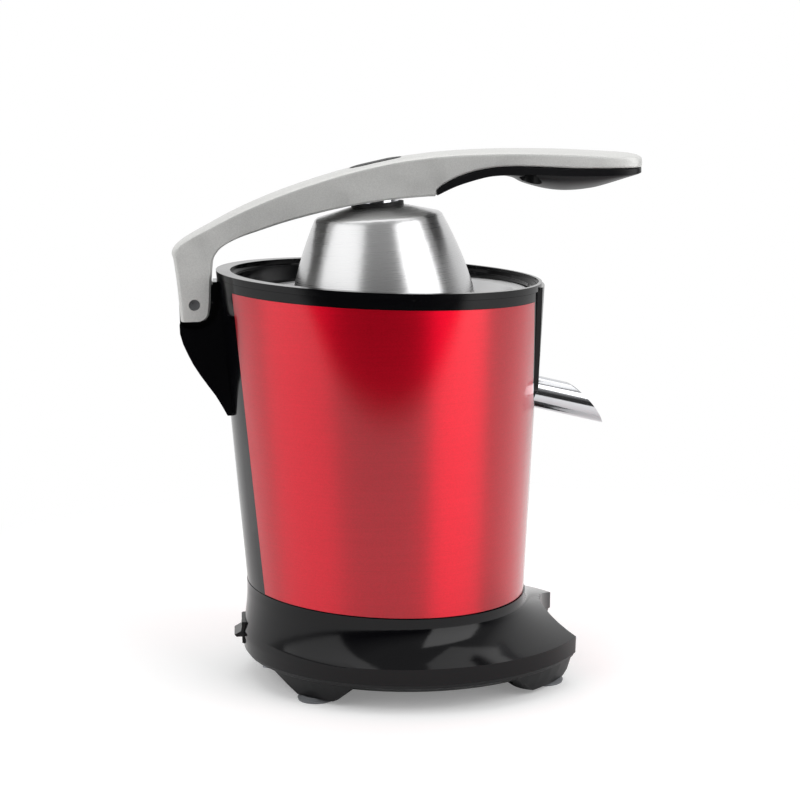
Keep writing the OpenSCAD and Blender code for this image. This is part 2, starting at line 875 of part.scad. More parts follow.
standoff_h = 14;
gearbox_plate = 3;
gearbox_top = deck_z - standoff_h;
out_hi = gearbox_top - gearbox_plate - 2;
out_lo = out_hi - gear_w;
idler_hi = out_lo - 3.5;
idler_w = 7;
idler_lo = idler_hi - idler_w;
gearbox_in = idler_lo - 2.5;
gearbox_foot = gearbox_in - gearbox_plate;
gear_tip = gear_mod * (gear_teeth / 2 + 1);
box_r = gear_tip + 2;
box_wall = 2;
hub_r = shaft_r + 4;
hub_lo = out_lo - 2;
hub_top = gearbox_top + 1;
flat_half = shaft_r - 1;
// Spigot under the shaft's flats, and the sleeve that guides it past the idler and carries the gear
spigot_r = flat_half - 0.1;
sleeve_r = centre_d - gear_tip - 0.5;
flat_lo = hub_lo + reamer_travel + 0.5;
round_lo = hub_top + reamer_travel + 0.5;
spring_wire = 0.5;
spring_lo = hub_top;
collar_z = deck_z - 5;

// Involute of an angle, in degrees
function involute(a) = tan(a) * 180 / PI - a;

// Half angle of a tooth at radius r
function tooth_half(n, r) =
    let (rp = gear_mod * n / 2, rb = rp * cos(press_angle), a = r > rb ? acos(rb / r) : 0)
    90 / n - backlash / 2 / rp * 180 / PI + involute(press_angle) - involute(a);

// Gear outline with one tooth on +X
module gear_outline(n) {
    rp = gear_mod * n / 2;
    root = rp - 1.25 * gear_mod;
    tip = rp + gear_mod;
    steps = 5;
    radii = [for (i = [0 : steps]) root + (tip - root) * i / steps];
    polygon([for (k = [0 : n - 1]) each concat(
        [for (i = [0 : steps])
            let (a = 360 * k / n - tooth_half(n, radii[i])) radii[i] * [cos(a), sin(a)]],
        [for (i = [steps : -1 : 0])
            let (a = 360 * k / n + tooth_half(n, radii[i])) radii[i] * [cos(a), sin(a)]])]);
}

module gear(n, z0, z1, turn) {
    translate([0, 0, z0])
        rotate([0, 0, turn])
            linear_extrude(height = z1 - z0)
                gear_outline(n);
}

// Shaft with two flats, grown by a gap
module flatted(z0, z1, gap) {
    intersection() {
        post(0, 0, z0, z1, shaft_r + gap);
        translate([-flat_half - gap, -big / 2, z0])
            cube([2 * (flat_half + gap), big, z1 - z0]);
    }
}

module output_gear() {
    color(nylon)
        difference() {
            union() {
                gear(gear_teeth, out_lo, out_hi, 90);
                post(0, 0, hub_lo, hub_top, hub_r);
            }
            flatted(hub_lo - cut, hub_top + cut, run_fit);
            for (a = [30 : 60 : 330])
                rotate([0, 0, a])
                    post(gear_tip * 0.58, 0, out_lo - cut, out_hi + cut, 5);
        }
}

idler_pin_r = 3;

module idler_gear() {
    color(nylon)
        translate([0, idler_y, 0])
            difference() {
                union() {
                    gear(gear_teeth, idler_lo, idler_hi, motor_turn);
                    gear(pinion_teeth, idler_hi - cut, out_hi + 1, 270 + 180 / pinion_teeth);
                    post(0, 0, gearbox_in + move_gap, idler_lo + cut, 6);
                }
                post(0, 0, gearbox_foot, gearbox_top, idler_pin_r + run_fit);
            }
}

module idler_pin() {
    color(steel)
        post(0, idler_y, gearbox_foot + 0.5, gearbox_top - 0.5, idler_pin_r);
}

// Plan of the gearbox, grown by an offset
module box_plan(grow) {
    circle(r = box_r + grow);
    translate([0, idler_y])
        circle(r = box_r + grow);
}

lug_spots = [box_r * [cos(-60), sin(-60)], box_r * [cos(200), sin(200)],
    [box_r * cos(60), idler_y + box_r * sin(60)], [box_r * cos(140), idler_y + box_r * sin(140)]];
lug_r = 5;
lug_out = 1.09;
box_screw_r = 1.5;
standoff_spots = [[0, -22], [-18, idler_y + 12], [18, idler_y + 12]];
standoff_r = 5;
deck_screw_r = 1.8;

// Lugs of the gearbox in plan
module box_lugs() {
    for (p = lug_spots)
        translate(p * lug_out)
            circle(r = lug_r);
}

motor_hole_r = pinion_teeth * gear_mod / 2 + 3;

module gearbox_base() {
    color(soft_black)
        difference() {
            translate([0, 0, gearbox_foot])
                linear_extrude(height = gearbox_plate)
                    union() {
                        box_plan(box_wall);
                        box_lugs();
                        translate([motor_x, motor_y])
                            rotate(45)
                                square([2 * motor_screw_at, 11], center = true);
                        for (p = motor_screw_spots)
                            translate(p)
                                circle(r = 5.5);
                    }
            post(0, 0, gearbox_foot - cut, gearbox_in + cut, sleeve_r + seat_gap);
            post(0, idler_y, gearbox_foot - cut, gearbox_in + cut, idler_pin_r + seat_gap);
            post(motor_x, motor_y, gearbox_foot - cut, gearbox_in + cut, motor_hole_r);
            for (p = lug_out * lug_spots)
                post(p[0], p[1], gearbox_foot - cut, gearbox_in + cut, box_screw_r + seat_gap);
            for (p = motor_screw_spots)
                post(p[0], p[1], gearbox_foot - cut, gearbox_in + cut, motor_screw_r + seat_gap);
        }
}

module gearbox_cover() {
    color(soft_black)
        difference() {
            union() {
                translate([0, 0, gearbox_in + seat_gap])
                    linear_extrude(height = gearbox_top - gearbox_in - seat_gap)
                        union() {
                            box_plan(box_wall);
                            box_lugs();
                        }
                for (p = standoff_spots)
                    post(p[0], p[1], gearbox_top - cut, deck_z - seat_gap, standoff_r);
            }
            translate([0, 0, gearbox_in - cut])
                linear_extrude(height = gearbox_top - gearbox_plate - gearbox_in + cut)
                    box_plan(0);
            translate([motor_x, motor_y, gearbox_in - cut])
                cylinder(h = idler_hi - gearbox_in + 3, r = motor_hole_r);
            post(0, 0, gearbox_top - gearbox_plate - cut, gearbox_top + cut, bush_out + seat_gap);
            post(0, idler_y, gearbox_top - gearbox_plate - cut, gearbox_top + cut, idler_pin_r + seat_gap);
            for (p = lug_out * lug_spots)
                post(p[0], p[1], gearbox_in - cut, gearbox_in + 14, box_screw_r + seat_gap);
            for (p = standoff_spots)
                post(p[0], p[1], deck_z - 10, deck_z + cut, deck_screw_r + seat_gap);
        }
}

bush_out = hub_r + 2.5;

module gear_bushes() {
    color(bronze) {
        ring(gearbox_foot, hub_lo - seat_gap, spigot_r + run_fit, sleeve_r);
        ring(gearbox_top - gearbox_plate, gearbox_top, hub_r + run_fit, bush_out);
    }
}

module gearbox_screws() {
    color(zinc)
        for (p = lug_out * lug_spots)
            screw_up(p[0], p[1], gearbox_foot - seat_gap, 3, 2, box_screw_r, gearbox_plate + 11);
}

module deck_screws() {
    color(zinc)
        for (p = standoff_spots) {
            post(p[0], p[1], deck_top + seat_gap, deck_top + 2.4, 3.4);
            post(p[0], p[1], deck_z - 9, deck_top + cut, deck_screw_r);
        }
}

module drive_shaft() {
    color(steel)
        union() {
            post(0, 0, shaft_foot, flat_lo + cut, spigot_r);
            flatted(flat_lo, round_lo + cut, 0);
            post(0, 0, round_lo, shaft_top, shaft_r);
            post(0, 0, collar_z, collar_z + 2, spring_r + spring_wire);
        }
}

shaft_foot = gearbox_foot + 1;
spring_r = shaft_r + 1.6;

module shaft_bush() {
    color(bronze)
        difference() {
            union() {
                post(0, 0, deck_z, deck_top + 6, deck_hole_r);
                post(0, 0, deck_top + seat_gap, deck_top + 2, deck_hole_r + 2);
            }
            post(0, 0, deck_z - cut, deck_top + 7, shaft_r + run_fit);
        }
}

// Coil spring between the gear's hub and the shaft's collar
spring_turns = 3;
spring_rings = 12;
spring_h = collar_z - spring_lo;
spring_rise = (spring_h - 2 * spring_wire - 0.2) / spring_turns;
function spring_centre(i) = let (a = 360 * i / spring_rings)
    [spring_r * cos(a), spring_r * sin(a), spring_lo + 0.1 + spring_wire + spring_rise * i / spring_rings];
function spring_ring(i) = let (a = 360 * i / spring_rings, c = spring_centre(i))
    [for (k = [0 : 5]) let (b = -60 * k)
        c + spring_wire * [cos(b) * cos(a), cos(b) * sin(a), sin(b)]];
spring_gap = min([for (i = [0 : spring_rings * (spring_turns - 1)])
    norm(spring_centre(i + spring_rings) - spring_centre(i))]) - 2 * spring_wire;
echo(spring_gap = spring_gap);

module start_spring() {
    color(steel)
        skin([for (i = [0 : spring_rings * spring_turns]) spring_ring(i)]);
}

switch_gap = 0.4;
start_switch_top = shaft_foot - reamer_travel - switch_gap;
start_switch_w = 20;
start_switch_d = 7;

module start_switch() {
    color(soft_black)
        union() {
            translate([-5, -start_switch_d / 2, start_switch_top - 9])
                cube([start_switch_w, start_switch_d, 7.6]);
            post(0, 0, start_switch_top - 2, start_switch_top, 1.5);
            translate([9, -start_switch_d / 2, start_switch_top - 9])
                cube([6, start_switch_d, gearbox_foot - seat_gap - start_switch_top + 9]);
        }
}

motor_gap = 17;
winding_h = 6;
winding_in = 1.5;
winding_out = 7.5;
bracket_t = 3;
fan_h = 8;
fan_r = 24;
fan_drop = 14;
// The fan and the lower bracket stand over the bottom plate, the upper bracket hangs from the gearbox,
// and the lamination stack fills the room between
fan_lo = plate_in + fan_clear;
bracket_lo = fan_lo + fan_drop;
bracket_hi = gearbox_foot - motor_gap + winding_h;
stack_lo = bracket_lo + bracket_t + 1 + winding_h;
stack_hi = bracket_hi - bracket_t - 1 - winding_h;
stack_h = stack_hi - stack_lo;
motor_screw_r = 2;
motor_screw_at = stack_w / 2 + 3;
motor_screw_spots = [for (s = [-1, 1]) [motor_x, motor_y] + s * motor_screw_at * [cos(45), sin(45)]];
rotor_gap = 0.4;
motor_bush_r = 6;

module at_motor() {
    translate([motor_x, motor_y, 0])
        children();
}

module motor_stator() {
    corner = 9;
    color(zinc)
        difference() {
            at_motor()
                translate([0, 0, stack_lo])
                    linear_extrude(height = stack_h)
                        difference() {
                            square(stack_w, center = true);
                            for (a = [90 : 180 : 270])
                                rotate(a + 45)
                                    translate([stack_w / 2 + corner, -stack_w])
                                        square([stack_w, 2 * stack_w]);
                            circle(r = rotor_r + rotor_gap);
                        }
            for (p = motor_screw_spots)
                post(p[0], p[1], stack_lo - cut, stack_hi + cut, motor_screw_r + seat_gap);
        }
}

module motor_windings() {
    color(copper)
        at_motor()
            for (z = [stack_lo - winding_h, stack_hi + seat_gap])
                ring(z, z + winding_h - seat_gap, rotor_r + winding_in, rotor_r + winding_out);
}

module motor_brackets() {
    half = motor_screw_at + 5;
    leg = winding_h + 1;
    color(zinc)
        difference() {
            union() {
                at_motor()
                    rotate([0, 0, 45])
                        for (z = [bracket_lo, bracket_hi - bracket_t])
                            translate([-half, -8, z])
                                cube([2 * half, 16, bracket_t]);
                for (p = motor_screw_spots) {
                    post(p[0], p[1], bracket_hi - bracket_t - leg + seat_gap, bracket_hi, 4.4);
                    post(p[0], p[1], bracket_lo, bracket_lo + bracket_t + leg - seat_gap, 4.4);
                    post(p[0], p[1], bracket_hi - cut, gearbox_foot - seat_gap, 4.4);
                }
            }
            for (p = motor_screw_spots)
                post(p[0], p[1], bracket_lo - cut, gearbox_foot + cut, motor_screw_r + seat_gap);
            post(motor_x, motor_y, bracket_lo - cut, bracket_hi + cut, motor_bush_r + seat_gap);
        }
}

module motor_bushes() {
    color(bronze)
        at_motor()
            for (z = [bracket_lo - 1, bracket_hi - bracket_t - 1])
                ring(z, z + bracket_t + 2, motor_shaft_r + run_fit, motor_bush_r);
}

module motor_screws() {
    color(zinc)
        for (p = motor_screw_spots) {
            post(p[0], p[1], bracket_lo - seat_gap - 2.4, bracket_lo - seat_gap, 3.6);
            post(p[0], p[1], bracket_lo - cut, gearbox_in - 0.5, motor_screw_r);
        }
}

module motor_rotor() {
    color(steel)
        at_motor()
            union() {
                post(0, 0, stack_lo, stack_hi, rotor_r);
                post(0, 0, stack_lo - winding_h + 2, stack_hi + winding_h - 2, motor_shaft_r + 5);
                post(0, 0, fan_lo, idler_hi + 1.4, motor_shaft_r);
            }
}

module motor_pinion() {
    color(bronze)
        at_motor()
            difference() {
                gear(pinion_teeth, idler_lo - 1, idler_hi + 1, motor_turn + 180 + 180 / pinion_teeth);
                post(0, 0, idler_lo - 2, idler_hi + 2, motor_shaft_r + seat_gap / 2);
            }
}

module cooling_fan() {
    blade_t = 1.6;
    color(black)
        at_motor()
            difference() {
                union() {
                    post(0, 0, fan_lo, fan_lo + fan_h, motor_shaft_r + 3.5);
                    ring(fan_lo, fan_lo + 1.5, motor_shaft_r + 2, fan_r);
                    for (i = [0 : blade_count - 1])
                        rotate([0, 0, i * 360 / blade_count])
                            translate([motor_shaft_r + 2, -blade_t / 2, fan_lo])
                                cube([fan_r - motor_shaft_r - 3, blade_t, fan_h]);
                }
                post(0, 0, fan_lo - cut, fan_lo + fan_h + cut, motor_shaft_r + seat_gap / 2);
            }
}

// Spout

mouth_arc_r = 45.9;
mouth_arc_x = 5.7;
mouth_arc_z = -38;

module spout() {
    color(bright)
        intersection() {
            difference() {
                spout_bar(barrel_r - 4, 60, spout_r);
                spout_bar(barrel_r - 5, 61, spout_r - spout_wall);
            }
            cross_bar(barrel_x + mouth_arc_x, barrel_z + mouth_arc_z, 60, mouth_arc_r);
        }
}

module spout_barrel() {
    color(soft_black)
        difference() {
            union() {
                cross_bar(barrel_x, barrel_z, barrel_len, barrel_r);
                cross_bar(barrel_x, barrel_z, barrel_len + 4.6, trunnion_r);
            }
            spout_bar(-20, 20, channel_r);
            spout_bar(barrel_r - 4 - seat_gap, 40, spout_r + seat_gap);
        }
}

// Hinge

knuckle_gap = 0.3;
seat_arc_r = 13.5;
tongue_disc_r = 8.5;
bush_r = pin_r + 1.6;
bracket_screw_r = 2;
bracket_screw_z = [pin_z - 40, pin_z - 22];

// Side outline of the bracket about the pin, from its rear line to inside the casing
bracket_rear = [[15.8, -61.5], [12.7, -55.5], [9.6, -50], [5.4, -44], [1.7, -38.5], [-1.9, -32.5], [-4.5, -27],
    [-7, -21], [-8.4, -15.5]];
bracket_front = 26;
bracket_up = 11.5;

module bracket_tongue() {
    upstand = tongue_disc_r + 1.4;
    polygon(concat(bracket_rear, [[-tongue_disc_r, 0], [upstand, 0], [upstand, bracket_up],
        [bracket_front, bracket_up], [bracket_front, -61.5]]));
    circle(r = tongue_disc_r);
}

module bracket_shoulders() {
    difference() {
        polygon(concat(bracket_rear, [[-8.6, -5], [-4, 2], [bracket_front, 2], [bracket_front, -61.5]]));
        circle(r = seat_arc_r);
    }
}

module hinge_bracket() {
    color(black)
        difference() {
            translate([pin_x, 0, pin_z])
                union() {
                    side_plate(2 * hinge_half)
                        bracket_tongue();
                    side_plate(2 * knuckle_half)
                        bracket_shoulders();
                }
            casing_cone(-seat_gap);
            cross_bar(pin_x, pin_z, big, bush_r + seat_gap / 2);
            for (z = bracket_screw_z)
                translate([-casing_r(z) - casing_back - 9, 0, z])
                    rotate([0, 90, 0])
                        cylinder(h = 40, r = bracket_screw_r + seat_gap);
        }
}

module bracket_screws() {
    inner = frame_wall + wrap_t + 0.9;
    color(zinc)
        for (z = bracket_screw_z)
            translate([-casing_r(z) - casing_back, 0, z])
                rotate([0, 90, 0]) {
                    translate([0, 0, -8])
                        cylinder(h = 8 + inner + cut / 2, r = bracket_screw_r);
                    translate([0, 0, inner])
                        cylinder(h = 2, r = 3.6);
                }
}

module hinge_bushes() {
    color(bronze)
        for (s = [-1, 1])
            translate([pin_x, s * (hinge_half / 2 + 0.2), pin_z])
                rotate([90, 0, 0])
                    difference() {
                        cylinder(h = hinge_half - 0.8, r = bush_r, center = true);
                        cylinder(h = hinge_half, r = pin_r + run_fit, center = true);
                    }
}

module hinge_pin() {
    color(steel)
        cross_bar(pin_x, pin_z, 2 * knuckle_half - 1, pin_r);
}

// Lever

// Stations of the lever about the pin: top x and z, underside x and z, half width
lever_stations = [
    [-8.2, -9.1, 3.2, -9.1, 0], [-8.3, -7.6, 6.2, -7.6, 0], [-8.4, -6.2, 7.7, -5.2, 0],
    [-8.7, 0.5, 8.7, 1.3, 0], [-9.6, 13.3, 9.3, 11.3, 0], [-10.8, 24.3, 10.8, 23.3, 0],
    [-11.4, 29, 13, 28.1, 0], [-5.8, 34.3, 17, 31.8, 0],
    [8.2, 42, 24.7, 35.6, 0], [26.2, 51, 34.7, 38.9, 0], [50.2, 60.4, 55, 44.9, 0], [80.2, 69.4, 84.2, 51.2, 0],
    [108.2, 75.5, 110.2, 54.5, 0.5], [127.5, 77.9, 128.4, 55.7, 1.3], [131.4, 78.3, 132.2, 56, 1.6],
    [133.6, 78.5, 133.3, 59.8, 1.75], [146.2, 79.2, 144.2, 66, 3], [160.2, 79.5, 158.4, 70, 5],
    [176.2, 79.5, 176.2, 71.3, 7.5], [206.2, 78.4, 206.2, 69.7, 11], [231.2, 76.6, 231.2, 69.2, 12],
    [240, 75.9, 240, 69.2, 10.5], [244.2, 75.4, 244.2, 69.3, 6], [246, 74.6, 246, 69.6, -3]
];

// Stations of the grip under the handle: belly x and z, top x and z, half width past the knuckle's
grip_stations = [
    [133.5, 55.9, 134.1, 59.5, 0.6], [144.2, 60.8, 144.2, 65.7, 1.8], [158.4, 65.2, 158.4, 69.6, 4],
    [167.2, 66, 167.2, 70.6, 5.3], [176.2, 64, 176.2, 70.8, 6.6], [182.2, 61, 182.2, 70.6, 7.5],
    [194.2, 57.5, 194.2, 69.9, 9], [206.2, 56.2, 206.2, 69.2, 10], [219.7, 57.2, 219.7, 68.8, 10.8],
    [231.2, 60.3, 231.2, 68.8, 11], [240, 63.6, 240, 68.8, 9.6], [244, 65.4, 244, 68.9, 5.5],
    [245.6, 66.2, 245.6, 69.1, -3.5]
];

// Crown and fullness of the rings: a nearly flat top for the arm, and a belly that meets its band in a
// crease for the grip
arm_round = [3, 3];
grip_round = [9, 1.6];

// Ring of a station: flat towards its second point, with small corners, and crowned towards its first
function station_ring(s, round) =
    let (top = [s[0], s[1]], low = [s[2], s[3]], w = knuckle_half + s[4], t = norm(top - low),
         fullness = round[1], c = min(round[0], 0.7 * t), edge = min(1, 0.1 * t),
         flat = [[w - edge, 0], [w, edge / t]],
         arch = [for (a = [0 : 15 : 180])
             let (u = pow(abs(cos(a)), 2 / fullness) * sign(cos(a)), v = pow(sin(a), 2 / fullness))
             [w * u, (t - c) / t + v * c / t]],
         loop = concat(flat, arch, [[-w, edge / t], [-w + edge, 0]]))
    [for (p = loop) let (q = low + (top - low) * p[1]) [pin_x + q[0], p[0], pin_z + q[1]]];

// Puts its children in the dome's own frame, where its axis is the drive axis
module on_lever() {
    translate([pin_x, 0, pin_z])
        rotate([0, -dome_lean, 0])
            translate([-pin_x, 0, -pin_z])
                children();
}

cover_len = 26;
cover_w = 13;
cover_lean = 10.5;
cover_x = -3;
// How far the arm's curve stands over the straight line between its stations there
cover_swell = 0.2;
cover_top = pin_z + lookup(cover_x - pin_x, [for (s = lever_stations) [s[0], s[1]]]) + cover_swell;
cover_deep = 4;

// Oval of the screw cover, between two depths, grown by a gap
module cover_oval(lo, hi, gap) {
    translate([cover_x, 0, cover_top])
        rotate([0, -cover_lean, 0])
            translate([0, 0, lo])
                linear_extrude(height = hi - lo)
                    union() {
                        square([cover_len - cover_w, cover_w + 2 * gap], center = true);
                        for (s = [-1, 1])
                            translate([s * (cover_len - cover_w) / 2, 0])
                                circle(r = cover_w / 2 + gap);
                    }
}

// The dome hangs from a spot face over the arm's underside, which its washer clears at the rear edge
spot_lift = 3.84;
dome_hang = 5.6;
nut_seat = 5.8;
arm_under = lookup(-pin_x - washer_r, [for (s = lever_stations) [s[2], s[3]]]);
spot_z = pin_z + arm_under + pin_x * sin(dome_lean) + spot_lift;
dome_cap_z = spot_z - dome_hang;
nut_z = spot_z + nut_seat;
nut_h = 5;
nut_r = 6;
shank_r = 4;
grip_screw_x = [pin_x + 190, pin_x + 226];
grip_screw_r = 1.6;
grip_head_r = 3.4;
grip_head_h = 2.4;
grip_head_top = pin_z + 67;
grip_screw_top = pin_z + 74;

module lever_arm() {
    slot_top = tongue_disc_r + 2;
    color(cast)
        difference() {
            skin([for (s = smooth(lever_stations, 3)) station_ring(s, arm_round)]);
            translate([pin_x - 40, -hinge_half - knuckle_gap, pin_z - 30])
                cube([40 + tongue_disc_r + 3, 2 * (hinge_half + knuckle_gap), 30 + slot_top]);
            cross_bar(pin_x, pin_z, big, pin_r + seat_gap / 2);
            on_lever() {
                post(0, 0, spot_z - 15, spot_z, stud_r + 0.3);
                post(0, 0, spot_z - cut, nut_z + cut, shank_r + seat_gap);
                post(0, 0, nut_z, nut_z + 13, nut_r + 1.4);
            }
            cover_oval(-cover_deep - 0.2, 10, seat_gap);
            for (x = grip_screw_x)
                post(x, 0, pin_z, grip_screw_top + 0.3, grip_screw_r + seat_gap);
        }
}

module under_grip() {
    color(soft_black)
        difference() {
            skin([for (s = smooth(grip_stations, 3)) station_ring(s, grip_round)]);
            for (x = grip_screw_x) {
                post(x, 0, pin_z, grip_screw_top + cut, grip_screw_r + seat_gap);
                post(x, 0, pin_z, grip_head_top, grip_head_r + seat_gap);
            }
        }
}

module grip_screws() {
    color(zinc)
        for (x = grip_screw_x) {
            post(x, 0, grip_head_top - grip_head_h, grip_head_top - seat_gap, grip_head_r);
            post(x, 0, grip_head_top - cut, grip_screw_top, grip_screw_r);
        }
}

module screw_cover() {
    color(black)
        cover_oval(-cover_deep, -0.1, 0);
}

// Dome

dome_curve_a = 0.494;
dome_curve_b = 0.003;
dome_flat_r = washer_r + 1;
dome_shoulder_z = dome_cap_z - 5.1;

// Radius of the dome's side at a depth under its shoulder
function dome_r(d) = dome_shoulder_r + dome_curve_a * d - dome_curve_b * d * d;

module press_dome() {
    steps = 8;
    depths = [for (i = [0 : steps]) 0.8 + (dome_side_h - 0.8) * i / steps];
    color(steel)
        on_lever()
            rotate_extrude()
                polygon(concat(
                    [[shank_r + seat_gap, dome_cap_z], [dome_flat_r, dome_cap_z],
                        [dome_shoulder_r - 1, dome_shoulder_z + 0.3]],
                    [for (d = depths) [dome_r(d), dome_shoulder_z - d]],
                    [for (i = [steps : -1 : 0]) [dome_r(depths[i]) - dome_t, dome_shoulder_z - depths[i]]],
                    [[dome_shoulder_r - 1.6 - dome_t / 2, dome_shoulder_z - dome_t],
                        [dome_flat_r, dome_cap_z - dome_t], [shank_r + seat_gap, dome_cap_z - dome_t]]));
}

module dome_washer() {
    color(soft_black)
        on_lever()
            ring(dome_cap_z + seat_gap, dome_cap_z + seat_gap + washer_t, shank_r + seat_gap, washer_r);
}

module dome_stud() {
    collar_lo = dome_cap_z + washer_t + 2 * seat_gap;
    color(bright)
        on_lever()
            union() {
                post(0, 0, collar_lo, spot_z - seat_gap, stud_r);
                post(0, 0, dome_cap_z - 5, nut_z + nut_h, shank_r);
                post(0, 0, dome_cap_z - 5, dome_cap_z - dome_t - seat_gap, stud_r - 2);
            }
}

module dome_nut() {
    color(zinc)
        on_lever()
            difference() {
                translate([0, 0, nut_z + seat_gap])
                    cylinder(h = nut_h - 0.6, r = nut_r, $fn = 6);
                post(0, 0, nut_z - cut, nut_z + 20, shank_r + seat_gap);
            }
}

// The origin lies under the middle of the whole length, which the lever spans
middle_x = pin_x + (max([for (s = lever_stations) s[0]]) + min([for (s = lever_stations) s[0]])) / 2;

module placed() {
    translate([-middle_x, 0, 0])
        children();
}

placed() base_skirt();
placed() bottom_plate();
placed() suction_feet();
placed() base_screws();
placed() switch_frame();
placed() switch_rocker();
placed() cord_gland();
placed() casing_frame();
placed() wrap_panel();
placed() frame_screws();
placed() juice_bowl();
placed() bowl_rim();
placed() strainer();
placed() reamer();
placed() drive_shaft();
placed() shaft_bush();
placed() start_spring();
placed() start_switch();
placed() output_gear();
placed() idler_gear();
placed() idler_pin();
placed() gear_bushes();
placed() gearbox_base();
placed() gearbox_cover();
placed() gearbox_screws();
placed() deck_screws();
placed() motor_stator();
placed() motor_windings();
placed() motor_brackets();
placed() motor_bushes();
placed() motor_screws();
placed() motor_rotor();
placed() motor_pinion();
placed() cooling_fan();
placed() spout();
placed() spout_barrel();
placed() hinge_bracket();
placed() bracket_screws();
placed() hinge_bushes();
placed() hinge_pin();
placed() lever_arm();
placed() under_grip();
placed() grip_screws();
placed() screw_cover();
placed() press_dome();
placed() dome_washer();
placed() dome_stud();
placed() dome_nut();
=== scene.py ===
"""Studio picture of an electric citrus press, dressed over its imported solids.

The press stands on a white table, lit by soft boxes, and is seen from the side that faces -Y, a little from
above. Sizes are in millimetres and turned to metres where Blender takes them. The drive axis stands a little
behind the origin, +X is the front and +Z is up.
"""

from __future__ import annotations

import logging
import math
from dataclasses import dataclass
from enum import Enum

import bmesh
import bpy
from mathutils import Matrix, Vector

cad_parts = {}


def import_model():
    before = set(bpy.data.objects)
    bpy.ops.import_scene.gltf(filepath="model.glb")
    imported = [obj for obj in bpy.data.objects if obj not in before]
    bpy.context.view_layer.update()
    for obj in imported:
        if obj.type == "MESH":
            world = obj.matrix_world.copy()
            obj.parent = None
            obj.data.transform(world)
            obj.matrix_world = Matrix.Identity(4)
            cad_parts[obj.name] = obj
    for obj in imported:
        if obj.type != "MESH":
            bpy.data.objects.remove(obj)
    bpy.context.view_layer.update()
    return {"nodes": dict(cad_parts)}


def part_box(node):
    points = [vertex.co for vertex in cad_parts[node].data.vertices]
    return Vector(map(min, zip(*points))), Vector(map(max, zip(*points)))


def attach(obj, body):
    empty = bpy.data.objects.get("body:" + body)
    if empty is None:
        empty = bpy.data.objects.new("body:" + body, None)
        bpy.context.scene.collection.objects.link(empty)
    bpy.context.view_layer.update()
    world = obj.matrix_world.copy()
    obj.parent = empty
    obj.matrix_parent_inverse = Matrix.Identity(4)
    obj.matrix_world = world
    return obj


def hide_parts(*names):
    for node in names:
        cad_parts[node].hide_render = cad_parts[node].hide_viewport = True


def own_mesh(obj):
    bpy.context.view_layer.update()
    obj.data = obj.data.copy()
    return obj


LOG = logging.getLogger("citrus_press")
MM = 0.001

Pair = tuple[float, float]
Point = tuple[float, float, float]
Tree = bpy.types.NodeTree
Socket = bpy.types.NodeSocket
Settings = dict[str | int, object]
Links = dict[str | int, Socket]

# The hinge pin's middle, from which the lever and its bracket are measured.
PIN_MM: Point = (-117.3, 0.0, 212.7)
UP = Vector((0.0, 0.0, 1.0))

# Sockets of the node that mixes two colours, by number, because their names repeat.
MIX_SHARE, MIX_FIRST, MIX_SECOND, MIX_RESULT = 0, 6, 7, 2

# Noise keeps mostly within this range, and is drawn with a little or with more fine detail.
NOISE_RANGE: Pair = (0.3, 0.7)
PLAIN_DETAIL, RICH_DETAIL = 2.0, 3.0

PLASTIC_IOR = 1.5
# A quarter of a turn lays a highlight's spread across the brushed lines.
QUARTER_TURN = 0.25
WHITE = (1.0, 1.0, 1.0, 1.0)


def linear(code: str) -> tuple[float, float, float, float]:
    """Turn an sRGB hex code into linear RGBA.

    Args:
        code: six hex digits after a hash.

    Returns:
        The linear colour with an alpha of 1.
    """
    parts = [int(code[i : i + 2], 16) / 255 for i in (1, 3, 5)]
    lin = [c / 12.92 if c <= 0.04045 else ((c + 0.055) / 1.055) ** 2.4 for c in parts]
    return (lin[0], lin[1], lin[2], 1.0)


def add_node(
    tree: Tree, kind: str, settings: Settings | None = None, links: Links | None = None
) -> bpy.types.Node:
    """Add a node with its settings and links.

    Args:
        tree: the node tree that takes the node.
        kind: the node's type name.
        settings: values by attribute name in lower case, or by input name or number.
        links: output sockets by the input name or number that they feed.

    Returns:
        The new node.
    """
    node = tree.nodes.new(kind)
    for key, value in (settings or {}).items():
        if isinstance(key, str) and key[0].islower():
            setattr(node, key, value)
        else:
            node.inputs[key].default_value = value
    for key, socket in (links or {}).items():
        tree.links.new(socket, node.inputs[key])
    return node


def between(source: Pair, target: Pair = (0.0, 1.0)) -> Settings:
    """Give the settings that carry one range of values over to another."""
    return {"From Min": source[0], "From Max": source[1], "To Min": target[0], "To Max": target[1]}


def colours(first: str, second: str) -> Settings:
    """Give the settings that mix two hex colours."""
    return {"data_type": "RGBA", MIX_FIRST: linear(first), MIX_SECOND: linear(second)}


def per_metre(size_mm: float) -> float:
    """Give the texture scale, per metre, of a pattern whose features are size_mm across."""
    return 1.0 / (size_mm * MM)


def smooth_rows(rows: tuple[tuple[float, ...], ...], steps: int) -> list[list[float]]:
    """Run a smooth curve through rows of sizes.

    Args:
        rows: the sizes at each station.
        steps: how many rows to give for each stretch between two stations.

    Returns:
        The rows along the curve, the stations among them.
    """
    out = []
    for i in range(len(rows) - 1):
        near = (rows[max(i - 1, 0)], rows[i], rows[i + 1], rows[min(i + 2, len(rows) - 1)])
        for k in range(steps):
            t = k / steps
            row = []
            for a, b, c, d in zip(*near):
                square = (2 * a - 5 * b + 4 * c - d) * t**2
                cube = (3 * b - a - 3 * c + d) * t**3
                row.append(0.5 * (2 * b + (c - a) * t + square + cube))
            out.append(row)
    out.append(list(rows[-1]))
    return out


